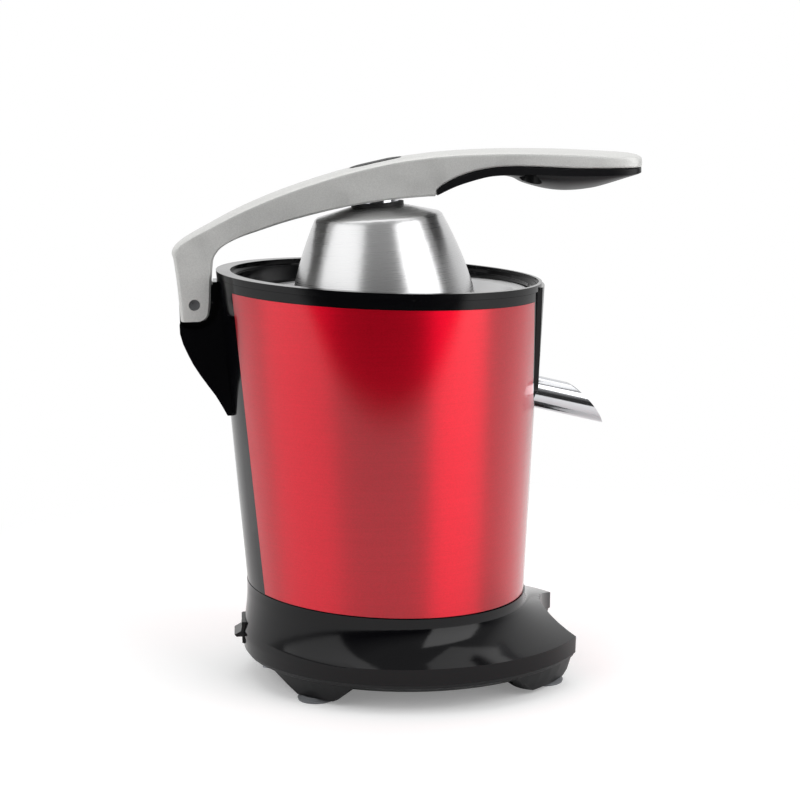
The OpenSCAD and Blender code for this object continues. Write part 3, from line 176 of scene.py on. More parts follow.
def bore(piece: bpy.types.Object, tool: bpy.types.Object) -> None:
    """Take a tool's shape out of a piece, and throw the tool away.

    Args:
        piece: the object that is cut.
        tool: the closed object that cuts it.
    """
    step = piece.modifiers.new("bore", "BOOLEAN")
    step.operation = "DIFFERENCE"
    step.solver = "EXACT"
    step.object = tool
    graph = bpy.context.evaluated_depsgraph_get()
    uncut = piece.data
    cut = bpy.data.meshes.new_from_object(piece.evaluated_get(graph))
    piece.modifiers.clear()
    piece.data = cut
    cut.name = uncut.name + "_bored"
    spent = tool.data
    bpy.data.objects.remove(tool)
    for mesh in (uncut, spent):
        bpy.data.meshes.remove(mesh)


def skin_rings(name: str, rings: list[list[Vector]]) -> bpy.types.Object:
    """Join rings of points into one closed skin.

    Args:
        name: the object's name.
        rings: rings of equal length, from one end of the piece to the other, in metres.

    Returns:
        The object, linked to the scene.
    """
    form = bmesh.new()
    loops = [[form.verts.new(point) for point in ring] for ring in rings]
    for lower, upper in zip(loops, loops[1:]):
        for i, corner in enumerate(lower):
            j = (i + 1) % len(lower)
            form.faces.new((corner, lower[j], upper[j], upper[i]))
    form.faces.new(loops[0][::-1])
    form.faces.new(loops[-1])
    bmesh.ops.recalc_face_normals(form, faces=form.faces)
    mesh = bpy.data.meshes.new(name)
    form.to_mesh(mesh)
    form.free()
    for face in mesh.polygons:
        face.use_smooth = True
    piece = bpy.data.objects.new(name, mesh)
    bpy.context.scene.collection.objects.link(piece)
    return piece


class Edge(Enum):
    """How a piece's edges were made, as a bevel width in millimetres."""

    MOULDED = 0.5
    FINE = 0.25
    CAST = 0.3
    SHEET = 0.2


@dataclass(frozen=True)
class Finish:
    """A surface: what it is made of and how it was made.

    Attributes:
        name: the material's name.
        colour: its sRGB hex colour.
        roughness: its mean roughness.
    """

    name: str
    colour: str
    roughness: float

    def constants(self) -> Settings:
        """Give the values that are the same all over the surface, by shader socket."""
        raise NotImplementedError

    def pattern(self, tree: Tree, coords: Socket) -> Links:
        """Draw what changes over the surface; each kind of finish has its own way.

        Args:
            tree: the material's node tree.
            coords: the socket of coordinates in metres.

        Returns:
            The pattern's sockets, by the shader socket that each one feeds.
        """
        raise NotImplementedError

    def grain(
        self, tree: Tree, coords: Socket, texture: Settings, depth_mm: float, relief: float
    ) -> tuple[Socket, Socket]:
        """Draw a fine texture that stands out of the surface.

        Args:
            tree: the material's node tree.
            coords: the socket of the texture's coordinates.
            texture: the texture's settings.
            depth_mm: its height.
            relief: how strongly that height shows.

        Returns:
            The sockets of the texture's value and of the way it turns the surface.
        """
        noise = add_node(tree, "ShaderNodeTexNoise", texture, {"Vector": coords})
        height = {"Strength": relief, "Distance": depth_mm * MM}
        bump = add_node(tree, "ShaderNodeBump", height, {"Height": noise.outputs["Fac"]})
        return noise.outputs["Fac"], bump.outputs[0]

    def patches(self, tree: Tree, coords: Socket, size_mm: float, source: Pair, target: Pair) -> Socket:
        """Let a value wander in soft patches.

        Args:
            tree: the material's node tree.
            coords: the socket of coordinates in metres.
            size_mm: size of a patch.
            source: values of the noise between which it wanders.
            target: its values there.

        Returns:
            The value's socket.
        """
        texture = {"Scale": per_metre(size_mm), "Detail": RICH_DETAIL}
        noise = add_node(tree, "ShaderNodeTexNoise", texture, {"Vector": coords})
        value = add_node(tree, "ShaderNodeMapRange", between(source, target), {"Value": noise.outputs["Fac"]})
        return value.outputs[0]

    def make(self) -> bpy.types.Material:
        """Build the material from its constants and its pattern.

        Returns:
            The material.
        """
        material = bpy.data.materials.new(self.name)
        material.use_nodes = True
        tree = material.node_tree
        tree.nodes.clear()
        coords = add_node(tree, "ShaderNodeTexCoord").outputs["Object"]
        even = {"Base Color": linear(self.colour), "Roughness": self.roughness} | self.constants()
        shader = add_node(tree, "ShaderNodeBsdfPrincipled", even, self.pattern(tree, coords))
        add_node(tree, "ShaderNodeOutputMaterial", links={"Surface": shader.outputs["BSDF"]})
        return material


@dataclass(frozen=True)
class Patchy(Finish):
    """A surface with a fine grain, whose colour and gloss shift a little in soft patches.

    Attributes:
        grain_mm: size of the grain; tool marks and fine skins are drawn coarser than real, so that they show.
        grain_depth_mm: its height.
        grain_detail: how many finer grains lie in a grain.
        relief: how strongly its height shows.
        patch_mm: size of a patch.
        patch: hex colour towards which the colour shifts.
        patch_range: values of the noise between which it shifts.
        patch_share: the share of that colour in a full patch.
    """

    grain_mm: float
    grain_depth_mm: float
    grain_detail: float
    relief: float
    patch_mm: float
    patch: str
    patch_range: Pair
    patch_share: float

    def rough(self) -> tuple[Pair, Pair] | None:
        """Give a range of the noise and the roughness there, or None where it is even."""
        return None

    def pattern(self, tree: Tree, coords: Socket) -> Links:
        """Draw the grain and the patches.

        Args:
            tree: the material's node tree.
            coords: the socket of coordinates in metres.

        Returns:
            The pattern's sockets, by the shader socket that each one feeds.
        """
        texture = {"Scale": per_metre(self.grain_mm), "Detail": self.grain_detail}
        _, normal = self.grain(tree, coords, texture, self.grain_depth_mm, self.relief)
        share = self.patches(tree, coords, self.patch_mm, self.patch_range, (0.0, self.patch_share))
        tint = add_node(tree, "ShaderNodeMix", colours(self.colour, self.patch), {MIX_SHARE: share})
        links = {"Base Color": tint.outputs[MIX_RESULT], "Normal": normal}
        wander = self.rough()
        if wander is not None:
            links["Roughness"] = self.patches(tree, coords, self.patch_mm, *wander)
        return links


@dataclass(frozen=True)
class MouldedPlastic(Patchy):
    """Injection-moulded ABS: black pigment, and the mould's own gloss or grain.

    The eye gets a deep black with clear highlights that waver slightly, where the skin shrank over the walls.

    Attributes:
        haze: how far the roughness wanders.
        haze_range: values of the noise between which it wanders.
        mirror: the shader's specular level.
    """

    grain_mm: float = 5.0
    grain_depth_mm: float = 0.006
    grain_detail: float = PLAIN_DETAIL
    relief: float = 1.0
    patch_mm: float = 45.0
    patch: str = "#0e0e10"
    patch_range: Pair = (0.0, 1.0)
    patch_share: float = 0.25
    haze: float = 0.05
    haze_range: Pair = (0.35, 0.7)
    mirror: float = 0.27

    def constants(self) -> Settings:
        """Give the plastic's index and its mirror."""
        return {"IOR": PLASTIC_IOR, "Specular IOR Level": self.mirror}

    def rough(self) -> tuple[Pair, Pair] | None:
        """Let the roughness wander further up than down."""
        return self.haze_range, (self.roughness - self.haze / 2, self.roughness + self.haze)


@dataclass(frozen=True)
class LacqueredSteel(Finish):
    """Sheet steel, brushed round the casing, under a clear red metallic lacquer.

    The brushed base spreads light up and down into soft glowing bands, the flakes give a fine sparkle, and
    the clear coat lays sharp pale reflections over both.

    Attributes:
        flake_mm: size of a metallic flake, drawn coarser than the real 0.05 mm so that it shows.
        brush_mm: spacing of the brushed lines, drawn coarser than the real 0.1 mm so that they show.
        brush_long_mm: length of a brushed line.
        deep: hex colour of the lacquer where it lies thick.
        flake_share: how much a flake brightens the lacquer.
        brush_share: how much a brushed line brightens it.
        thin_share: how bright the lacquer is without either.
        wander: how far the roughness falls and rises across the lines.
        spread: how far the brushing spreads a highlight.
        coat_roughness: roughness of the clear coat.
    """

    flake_mm: float = 0.5
    brush_mm: float = 0.7
    brush_long_mm: float = 60.0
    deep: str = "#bc021c"
    flake_share: float = 0.35
    brush_share: float = 0.5
    thin_share: float = 0.1
    wander: Pair = (0.05, 0.07)
    spread: float = 0.9
    coat_roughness: float = 0.1

    def constants(self) -> Settings:
        """Give the brushed metal and its clear coat."""
        return {
            "Metallic": 1.0,
            "Coat Weight": 1.0,
            "Coat Roughness": self.coat_roughness,
            "Coat IOR": PLASTIC_IOR,
            "Anisotropic": self.spread,
            "Anisotropic Rotation": QUARTER_TURN,
        }

    def pattern(self, tree: Tree, coords: Socket) -> Links:
        """Draw the brushed lines and the flakes.

        Args:
            tree: the material's node tree.
            coords: the socket of coordinates in metres.

        Returns:
            The pattern's sockets, by the shader socket that each one feeds.
        """
        along = per_metre(self.brush_long_mm)
        stretch = {"Scale": (along, along, per_metre(self.brush_mm))}
        lines = add_node(tree, "ShaderNodeMapping", stretch, {"Vector": coords})
        texture = {"Scale": 1.0, "Detail": PLAIN_DETAIL}
        brush = add_node(tree, "ShaderNodeTexNoise", texture, {"Vector": lines.outputs[0]}).outputs["Fac"]
        size = {"Scale": per_metre(self.flake_mm)}
        flakes = add_node(tree, "ShaderNodeTexVoronoi", size, {"Vector": coords})
        spark = add_node(tree, "ShaderNodeSeparateColor", links={0: flakes.outputs["Color"]})
        sum_up = {"operation": "MULTIPLY_ADD"}
        flake_part = sum_up | {1: self.flake_share, 2: self.thin_share}
        sparkle = add_node(tree, "ShaderNodeMath", flake_part, {0: spark.outputs[0]})
        brush_part = sum_up | {1: self.brush_share}
        share = add_node(tree, "ShaderNodeMath", brush_part, {0: brush, 2: sparkle.outputs[0]})
        tint = add_node(
            tree, "ShaderNodeMix", colours(self.deep, self.colour), {MIX_SHARE: share.outputs[0]}
        )
        limits = (self.roughness - self.wander[0], self.roughness + self.wander[1])
        rough = add_node(tree, "ShaderNodeMapRange", between((0.0, 1.0), limits), {"Value": brush})
        tangent = add_node(tree, "ShaderNodeTangent", {"direction_type": "RADIAL", "axis": "Z"})
        return {
            "Base Color": tint.outputs[MIX_RESULT],
            "Roughness": rough.outputs[0],
            "Tangent": tangent.outputs[0],
        }


@dataclass(frozen=True)
class CastAlloy(Finish):
    """Die-cast aluminium, tumbled and left satin.

    The eye gets a pale grey metal with a fine even grain, which keeps highlights broad and soft.

    Attributes:
        grain_mm: size of the tumbled grain, drawn coarser than the real 0.1 mm so that it shows.
        grain_depth_mm: height of the grain.
        grain_detail: how many finer grains lie in a grain.
        grain_ragged: how much those finer grains count.
        relief: how strongly the grain's height shows.
        shade: hex colour of the metal between the grains.
        cloud_mm: size of the patches in which the roughness wanders.
        wander: how far the roughness falls and rises.
        bare: share of bare metal; the rest is its dull oxide skin.
    """

    grain_mm: float = 0.7
    grain_depth_mm: float = 0.012
    grain_detail: float = 4.0
    grain_ragged: float = 0.7
    relief: float = 0.6
    shade: str = "#c8c8c6"
    cloud_mm: float = 14.0
    wander: Pair = (0.05, 0.08)
    bare: float = 0.75

    def constants(self) -> Settings:
        """Give the metal under its oxide skin."""
        return {"Metallic": self.bare}

    def pattern(self, tree: Tree, coords: Socket) -> Links:
        """Draw the tumbled grain.

        Args:
            tree: the material's node tree.
            coords: the socket of coordinates in metres.

        Returns:
            The pattern's sockets, by the shader socket that each one feeds.
        """
        texture = {
            "Scale": per_metre(self.grain_mm),
            "Detail": self.grain_detail,
            "Roughness": self.grain_ragged,
        }
        grain, normal = self.grain(tree, coords, texture, self.grain_depth_mm, self.relief)
        speck = add_node(tree, "ShaderNodeMapRange", between(NOISE_RANGE), {"Value": grain})
        tint = add_node(
            tree, "ShaderNodeMix", colours(self.shade, self.colour), {MIX_SHARE: speck.outputs[0]}
        )
        limits = (self.roughness - self.wander[0], self.roughness + self.wander[1])
        rough = self.patches(tree, coords, self.cloud_mm, NOISE_RANGE, limits)
        return {"Base Color": tint.outputs[MIX_RESULT], "Roughness": rough, "Normal": normal}


@dataclass(frozen=True)
class SpunSteel(Finish):
    """Stainless sheet, spun on a former and brushed on the lathe.

    The eye gets upright light and dark bands, because fine scratches lie level round the piece.

    Attributes:
        ring_mm: spacing of the brushed rings, drawn coarser than the real 0.05 mm so that they show.
        ring_long_mm: length of a scratch.
        ring_depth_mm: depth of the rings.
        ring_ragged: how much the finer scratches count.
        relief: how strongly the rings' depth shows.
        lean: lean of the piece's axis towards the rear, in degrees.
        spread: how far the brushing spreads a highlight.
        wander: how far the roughness falls and rises across the rings.
        dull: hex colour of the steel in its scratches.
    """

    ring_mm: float = 0.35
    ring_long_mm: float = 90.0
    ring_depth_mm: float = 0.0001
    ring_ragged: float = 0.65
    relief: float = 0.5
    lean: float = 0.0
    spread: float = 0.75
    wander: float = 0.012
    dull: str = "#cdcdce"

    def constants(self) -> Settings:
        """Give the metal and the way its brushing lies."""
        return {"Metallic": 1.0, "Anisotropic": self.spread, "Anisotropic Rotation": QUARTER_TURN}

    def pattern(self, tree: Tree, coords: Socket) -> Links:
        """Draw the brushed rings.

        Args:
            tree: the material's node tree.
            coords: the socket of coordinates in metres.

        Returns:
            The pattern's sockets, by the shader socket that each one feeds.
        """
        lean = {"Rotation": (0.0, math.radians(self.lean), 0.0)}
        level = add_node(tree, "ShaderNodeMapping", lean, {"Vector": coords})
        along = per_metre(self.ring_long_mm)
        stretch = {"Scale": (along, along, per_metre(self.ring_mm))}
        flat = add_node(tree, "ShaderNodeMapping", stretch, {"Vector": level.outputs[0]})
        texture = {"Scale": 1.0, "Detail": RICH_DETAIL, "Roughness": self.ring_ragged}
        rings, normal = self.grain(tree, flat.outputs[0], texture, self.ring_depth_mm, self.relief)
        limits = (self.roughness - self.wander, self.roughness + self.wander)
        rough = add_node(tree, "ShaderNodeMapRange", between(NOISE_RANGE, limits), {"Value": rings})
        tint = add_node(tree, "ShaderNodeMix", colours(self.dull, self.colour), {MIX_SHARE: rings})
        tangent = add_node(tree, "ShaderNodeTangent", {"direction_type": "RADIAL", "axis": "Z"})
        return {
            "Base Color": tint.outputs[MIX_RESULT],
            "Roughness": rough.outputs[0],
            "Normal": normal,
            "Tangent": tangent.outputs[0],
        }


@dataclass(frozen=True)
class BareMetal(Patchy):
    """Chrome plate, turned steel, zinc plate or bronze: a metal with fine tool marks.

    The eye gets a clean metal whose reflections blur in patches, hardly on a plated piece and more on a
    turned or sintered one.

    Attributes:
        wander: the least and the most roughness, as shares of the mean.
    """

    grain_mm: float = 0.5
    grain_depth_mm: float = 0.003
    grain_detail: float = PLAIN_DETAIL
    relief: float = 0.4
    patch_mm: float = 9.0
    patch: str = "#8c8d90"
    patch_range: Pair = (0.5, 0.9)
    patch_share: float = 0.6
    wander: Pair = (0.8, 1.3)

    def constants(self) -> Settings:
        """Give the plain metal."""
        return {"Metallic": 1.0}

    def rough(self) -> tuple[Pair, Pair] | None:
        """Let the roughness wander about its mean."""
        return NOISE_RANGE, (self.roughness * self.wander[0], self.roughness * self.wander[1])


@dataclass(frozen=True)
class MouldedRubber(Patchy):
    """Moulded rubber or nylon, with a faint bloom and a fine skin.

    The eye gets a soft, even colour without gloss, a little paler in patches.

    Attributes:
        mirror: the shader's specular level.
    """

    grain_mm: float = 0.8
    grain_depth_mm: float = 0.02
    grain_detail: float = RICH_DETAIL
    relief: float = 0.5
    patch_mm: float = 12.0
    patch: str = "#8f9194"
    patch_range: Pair = (0.4, 0.8)
    patch_share: float = 0.5
    mirror: float = 0.35

    def constants(self) -> Settings:
        """Give the rubber's index and its weak mirror."""
        return {"IOR": PLASTIC_IOR, "Specular IOR Level": self.mirror}


@dataclass(frozen=True)
class WoundCopper(Finish):
    """Enamelled copper wire, wound in close turns.

    The eye gets red-brown ribs with painted shade in the gaps between them, under a thin gloss of enamel.

    Attributes:
        wire_mm: thickness of the wire; a turn is drawn some six times as wide, so that it shows.
        wave_rate: the wave texture's own rate, by which its scale is divided.
        turn_depth_mm: height of a drawn turn.
        relief: how strongly that height shows.
        ragged: how far the turns stray from level.
        painted_gap_shade: hex colour of the painted shade between the turns.
        bare: share of bare metal under the enamel.
        enamel: weight and roughness of the enamel.
    """

    wire_mm: float = 0.8
    wave_rate: float = 20.0
    turn_depth_mm: float = 0.3
    relief: float = 0.8
    ragged: float = 1.5
    # Painted shade: the colour that the turns darken to where they dip between each other.
    painted_gap_shade: str = "#5a2a10"
    bare: float = 0.8
    enamel: Pair = (0.4, 0.2)

    def constants(self) -> Settings:
        """Give the copper and its enamel."""
        return {"Metallic": self.bare, "Coat Weight": self.enamel[0], "Coat Roughness": self.enamel[1]}

    def pattern(self, tree: Tree, coords: Socket) -> Links:
        """Draw the turns of wire.

        Args:
            tree: the material's node tree.
            coords: the socket of coordinates in metres.

        Returns:
            The pattern's sockets, by the shader socket that each one feeds.
        """
        scale = per_metre(self.wire_mm) / self.wave_rate
        bands = {"wave_type": "BANDS", "bands_direction": "Z", "Scale": scale, "Distortion": self.ragged}
        turns = add_node(tree, "ShaderNodeTexWave", bands, {"Vector": coords}).outputs["Fac"]
        height = {"Strength": self.relief, "Distance": self.turn_depth_mm * MM}
        bump = add_node(tree, "ShaderNodeBump", height, {"Height": turns})
        # Painted shade: the colour darkens where the turns' height is least, between them.
        tint = add_node(tree, "ShaderNodeMix", colours(self.painted_gap_shade, self.colour), {MIX_SHARE: turns})
        return {"Base Color": tint.outputs[MIX_RESULT], "Normal": bump.outputs[0]}


# From a polished mould: a black mirror with crisp highlights.
GLOSS_ABS = MouldedPlastic("moulded gloss black ABS", "#040406", 0.11)
# From an etched mould: a black whose highlights are broad and dim.
SATIN_ABS = MouldedPlastic(
    "moulded satin black ABS", "#0d0d0f", 0.34, grain_mm=0.8, grain_depth_mm=0.02, haze=0.08
)
# Clear red over brushed steel: a deep red that glows where the steel catches a lamp.
RED_LACQUER = LacqueredSteel("red lacquered brushed steel", "#de0428", 0.4)
# Tumbled after casting: an even pale grey, with hardly a highlight.
CAST_ALUMINIUM = CastAlloy("tumbled cast aluminium", "#dadad8", 0.56)
# Brushed on the lathe: bands from dark to white round the cone, and fine level lines.
DOME_STEEL = SpunSteel("spun brushed stainless steel", "#c8c8c8", 0.28, lean=2.3, spread=0.6, dull="#c0c0c1")
# Left as it was pressed: a light, soft grey without bands.
STRAINER_STEEL = SpunSteel("pressed stainless steel", "#d9d9d9", 0.42, spread=0.3)
# Plated over a polish: clear reflections of all that stands round it.
CHROME = BareMetal("polished chrome plate", "#d0d1d4", 0.1, grain_depth_mm=0.0004, patch="#c0c2c6")
# Cut on the lathe and left bare: a grey metal with fine marks.
TURNED_STEEL = BareMetal("turned steel", "#a3a4a7", 0.28)
# Plated in a barrel: a cool grey, dulled in patches.
ZINC_STEEL = BareMetal("zinc plated steel", "#9a9ca1", 0.36)
# Pressed from powder and sintered: a matt yellow brown with open pores.
BRONZE = BareMetal("sintered bronze", "#a07a45", 0.45, grain_depth_mm=0.01, patch="#6d5230")
# Soft grey lips, dusty from the mould.
GREY_RUBBER = MouldedRubber("moulded grey rubber", "#6f7174", 0.5)
# A black without depth, a trace greyer in patches.
BLACK_RUBBER = MouldedRubber("moulded black rubber", "#0c0c0c", 0.55, patch="#1c1c1d")
# Unpigmented: a milky white with a faint sheen.
NYLON = MouldedRubber("moulded natural nylon", "#d8d5c6", 0.45, patch="#e6e3d6")
# Wound and dipped: red-brown ribs with a thin gloss.
COPPER = WoundCopper("enamelled copper winding", "#a5572a", 0.35)


@dataclass
class SubAssembly:
    """A group of pieces that belong together.

    Attributes:
        nodes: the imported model's objects by node name.
        made: materials made so far, by finish, shared by all groups.
        weld_mm: how near two corners are to count as one.
        sharp_deg: the angle from which an edge is rounded.
        edge_steps: facets across a rounded edge.
        flat_weight: how far large faces hold the shading flat.
    """

    nodes: dict[str, bpy.types.Object]
    made: dict[str, bpy.types.Material]
    weld_mm: float = 0.002
    sharp_deg: float = 32.0
    edge_steps: int = 2
    flat_weight: int = 80

    def finish(self, name: str, finish: Finish, edge: Edge | None = None) -> bpy.types.Object:
        """Give a node its material, and soften its edges.

        Args:
            name: the node's name.
            finish: the surface it gets.
            edge: how its edges were made, or None for a piece that is left as it is.

        Returns:
            The node's object.
        """
        piece = self.nodes[name]
        for place in piece.material_slots:
            place.material = self.material(finish)
        if not piece.material_slots:
            piece.data.materials.append(self.material(finish))
        if edge is not None:
            self.soften(piece, edge)
        LOG.info("%s: %s", name, finish.name)
        return piece

    def material(self, finish: Finish) -> bpy.types.Material:
        """Give a finish's material, made at its first use.

        Args:
            finish: the surface.

        Returns:
            The material, the same one each time.
        """
        if finish.name not in self.made:
            self.made[finish.name] = finish.make()
        return self.made[finish.name]

    def add(self, piece: bpy.types.Object, finish: Finish, body: str, slot: str) -> None:
        """Dress a piece that the scene adds, and let it ride on a body.

        Args:
            piece: the new object.
            finish: the surface it gets.
            body: the body that carries it.
            slot: the record's material slot; not used.
        """
        piece.data.materials.append(self.material(finish))
        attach(piece, body)
        LOG.info("%s: %s", piece.name, finish.name)

    def soften(self, piece: bpy.types.Object, edge: Edge) -> None:
        """Round a piece's sharp edges and smooth its facets, with modifiers alone.

        Args:
            piece: the object.
            edge: how wide its edges are rounded.
        """
        weld = piece.modifiers.new("weld", "WELD")
        weld.merge_threshold = self.weld_mm * MM
        bevel = piece.modifiers.new("edges", "BEVEL")
        bevel.width = edge.value * MM
        bevel.segments = self.edge_steps
        bevel.limit_method = "ANGLE"
        bevel.angle_limit = math.radians(self.sharp_deg)
        bevel.use_clamp_overlap = True
        normal = piece.modifiers.new("shading", "WEIGHTED_NORMAL")
        normal.weight = self.flat_weight

    def dress(self) -> None:
        """Finish every piece of the group."""
        raise NotImplementedError


@dataclass
class Base(SubAssembly):
    """The flared skirt with its bottom plate, feet, switch and cord inlet."""

    def dress(self) -> None:
        """Finish the base."""
        self.finish("base_skirt", GLOSS_ABS, Edge.MOULDED)
        self.finish("bottom_plate", SATIN_ABS, Edge.MOULDED)
        self.finish("suction_feet", GREY_RUBBER)
        self.finish("base_screws", ZINC_STEEL)
        self.finish("switch_frame", SATIN_ABS, Edge.FINE)
        self.finish("switch_rocker", GLOSS_ABS, Edge.FINE)
        self.finish("cord_gland", BLACK_RUBBER)


@dataclass
class Casing(SubAssembly):
    """The frame with its red wrap, and the bracket that holds the lever.

    Attributes:
        pin_mm: the hinge pin's middle.
        rib_mm: corners of the rib that closes the slit before the lever's fork, from the pin.
        rib_half_mm: half the rib's width, inside the fork.
    """

    pin_mm: Point = PIN_MM
    rib_mm: tuple[Pair, ...] = ((8.3, 0.5), (10.4, 0.5), (10.4, 10.1), (8.8, 10.1), (8.3, 9.2))
    rib_half_mm: float = 8.7

    def dress(self) -> None:
        """Finish the casing."""
        self.finish("casing_frame", GLOSS_ABS)
        self.finish("wrap_panel", RED_LACQUER)
        self.finish("hinge_bracket", GLOSS_ABS, Edge.MOULDED)
        for name in ("frame_screws", "bracket_screws"):
            self.finish(name, ZINC_STEEL)
        self.finish("hinge_bushes", BRONZE)
        self.rib()

    def rib(self) -> None:
        """Close the slit between the lever's fork and the bracket's upstand with a moulded rib."""
        pin = Vector(self.pin_mm)
        rings = [
            [(pin + Vector((along, across, height))) * MM for along, height in self.rib_mm]
            for across in (-self.rib_half_mm, self.rib_half_mm)
        ]
        rib = skin_rings("bracket_rib", rings)
        self.add(rib, GLOSS_ABS, "housing", "gloss_black")
        self.soften(rib, Edge.FINE)


@dataclass
class Bowl(SubAssembly):
    """The lift-out bowl with its tongue and spout, the strainer and the reamer."""

    def dress(self) -> None:
        """Finish the bowl set."""
        self.finish("juice_bowl", GLOSS_ABS, Edge.MOULDED)
        self.finish("bowl_rim", GLOSS_ABS, Edge.MOULDED)
        self.finish("strainer", STRAINER_STEEL)
        self.finish("reamer", SATIN_ABS)
        self.finish("spout", CHROME)
        self.finish("spout_barrel", SATIN_ABS)


@dataclass
class Drive(SubAssembly):
    """The motor, the gears, the shaft and what holds them, inside the casing.

    Attributes:
        wire_mm: radius of the start spring's wire.
        wire_sides: facets round the wire.
        turns: turns of the start spring.
        turn_steps: facets along one turn.
        press_mm: how far the reamer's shaft presses the spring; not used.
    """

    wire_mm: float = 0.5
    wire_sides: int = 12
    turns: int = 3
    turn_steps: int = 32
    press_mm: float = 3.0

    def dress(self) -> None:
        """Finish the drive."""
        for name in ("drive_shaft", "start_spring", "idler_pin", "motor_rotor"):
            self.finish(name, TURNED_STEEL)
        for name in ("shaft_bush", "gear_bushes", "motor_bushes", "motor_pinion"):
            self.finish(name, BRONZE)
        for name in ("output_gear", "idler_gear"):
            self.finish(name, NYLON)
        for name in ("start_switch", "gearbox_base", "gearbox_cover", "cooling_fan"):
            self.finish(name, SATIN_ABS)
        for name in ("gearbox_screws", "deck_screws", "motor_stator", "motor_brackets", "motor_screws"):
            self.finish(name, ZINC_STEEL)
        self.finish("motor_windings", COPPER)
        self.spring()

    def spring(self) -> None:
        """Wind the start spring at rest; the coil does not shorten as the reamer is pressed."""
        low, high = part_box("start_spring")
        wire = self.wire_mm * MM
        middle = (low + high) / 2
        radius = (high.x - low.x) / 2 - wire
        rise = (high.z - low.z) - 2 * wire
        steps = self.turn_steps * self.turns
        sides = [math.tau * side / self.wire_sides for side in range(self.wire_sides)]
        rings = []
        for step in range(steps + 1):
            turn = math.tau * self.turns * step / steps
            outward = Vector((math.cos(turn), math.sin(turn), 0.0))
            centre = Vector((middle.x, middle.y, low.z + wire + rise * step / steps)) + radius * outward
            rings.append([centre + wire * (math.cos(b) * outward + math.sin(b) * UP) for b in sides])
        coil = skin_rings("start_spring_coil", rings)
        self.add(coil, TURNED_STEEL, "output", "machined_steel")
        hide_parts("start_spring")
        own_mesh(coil)


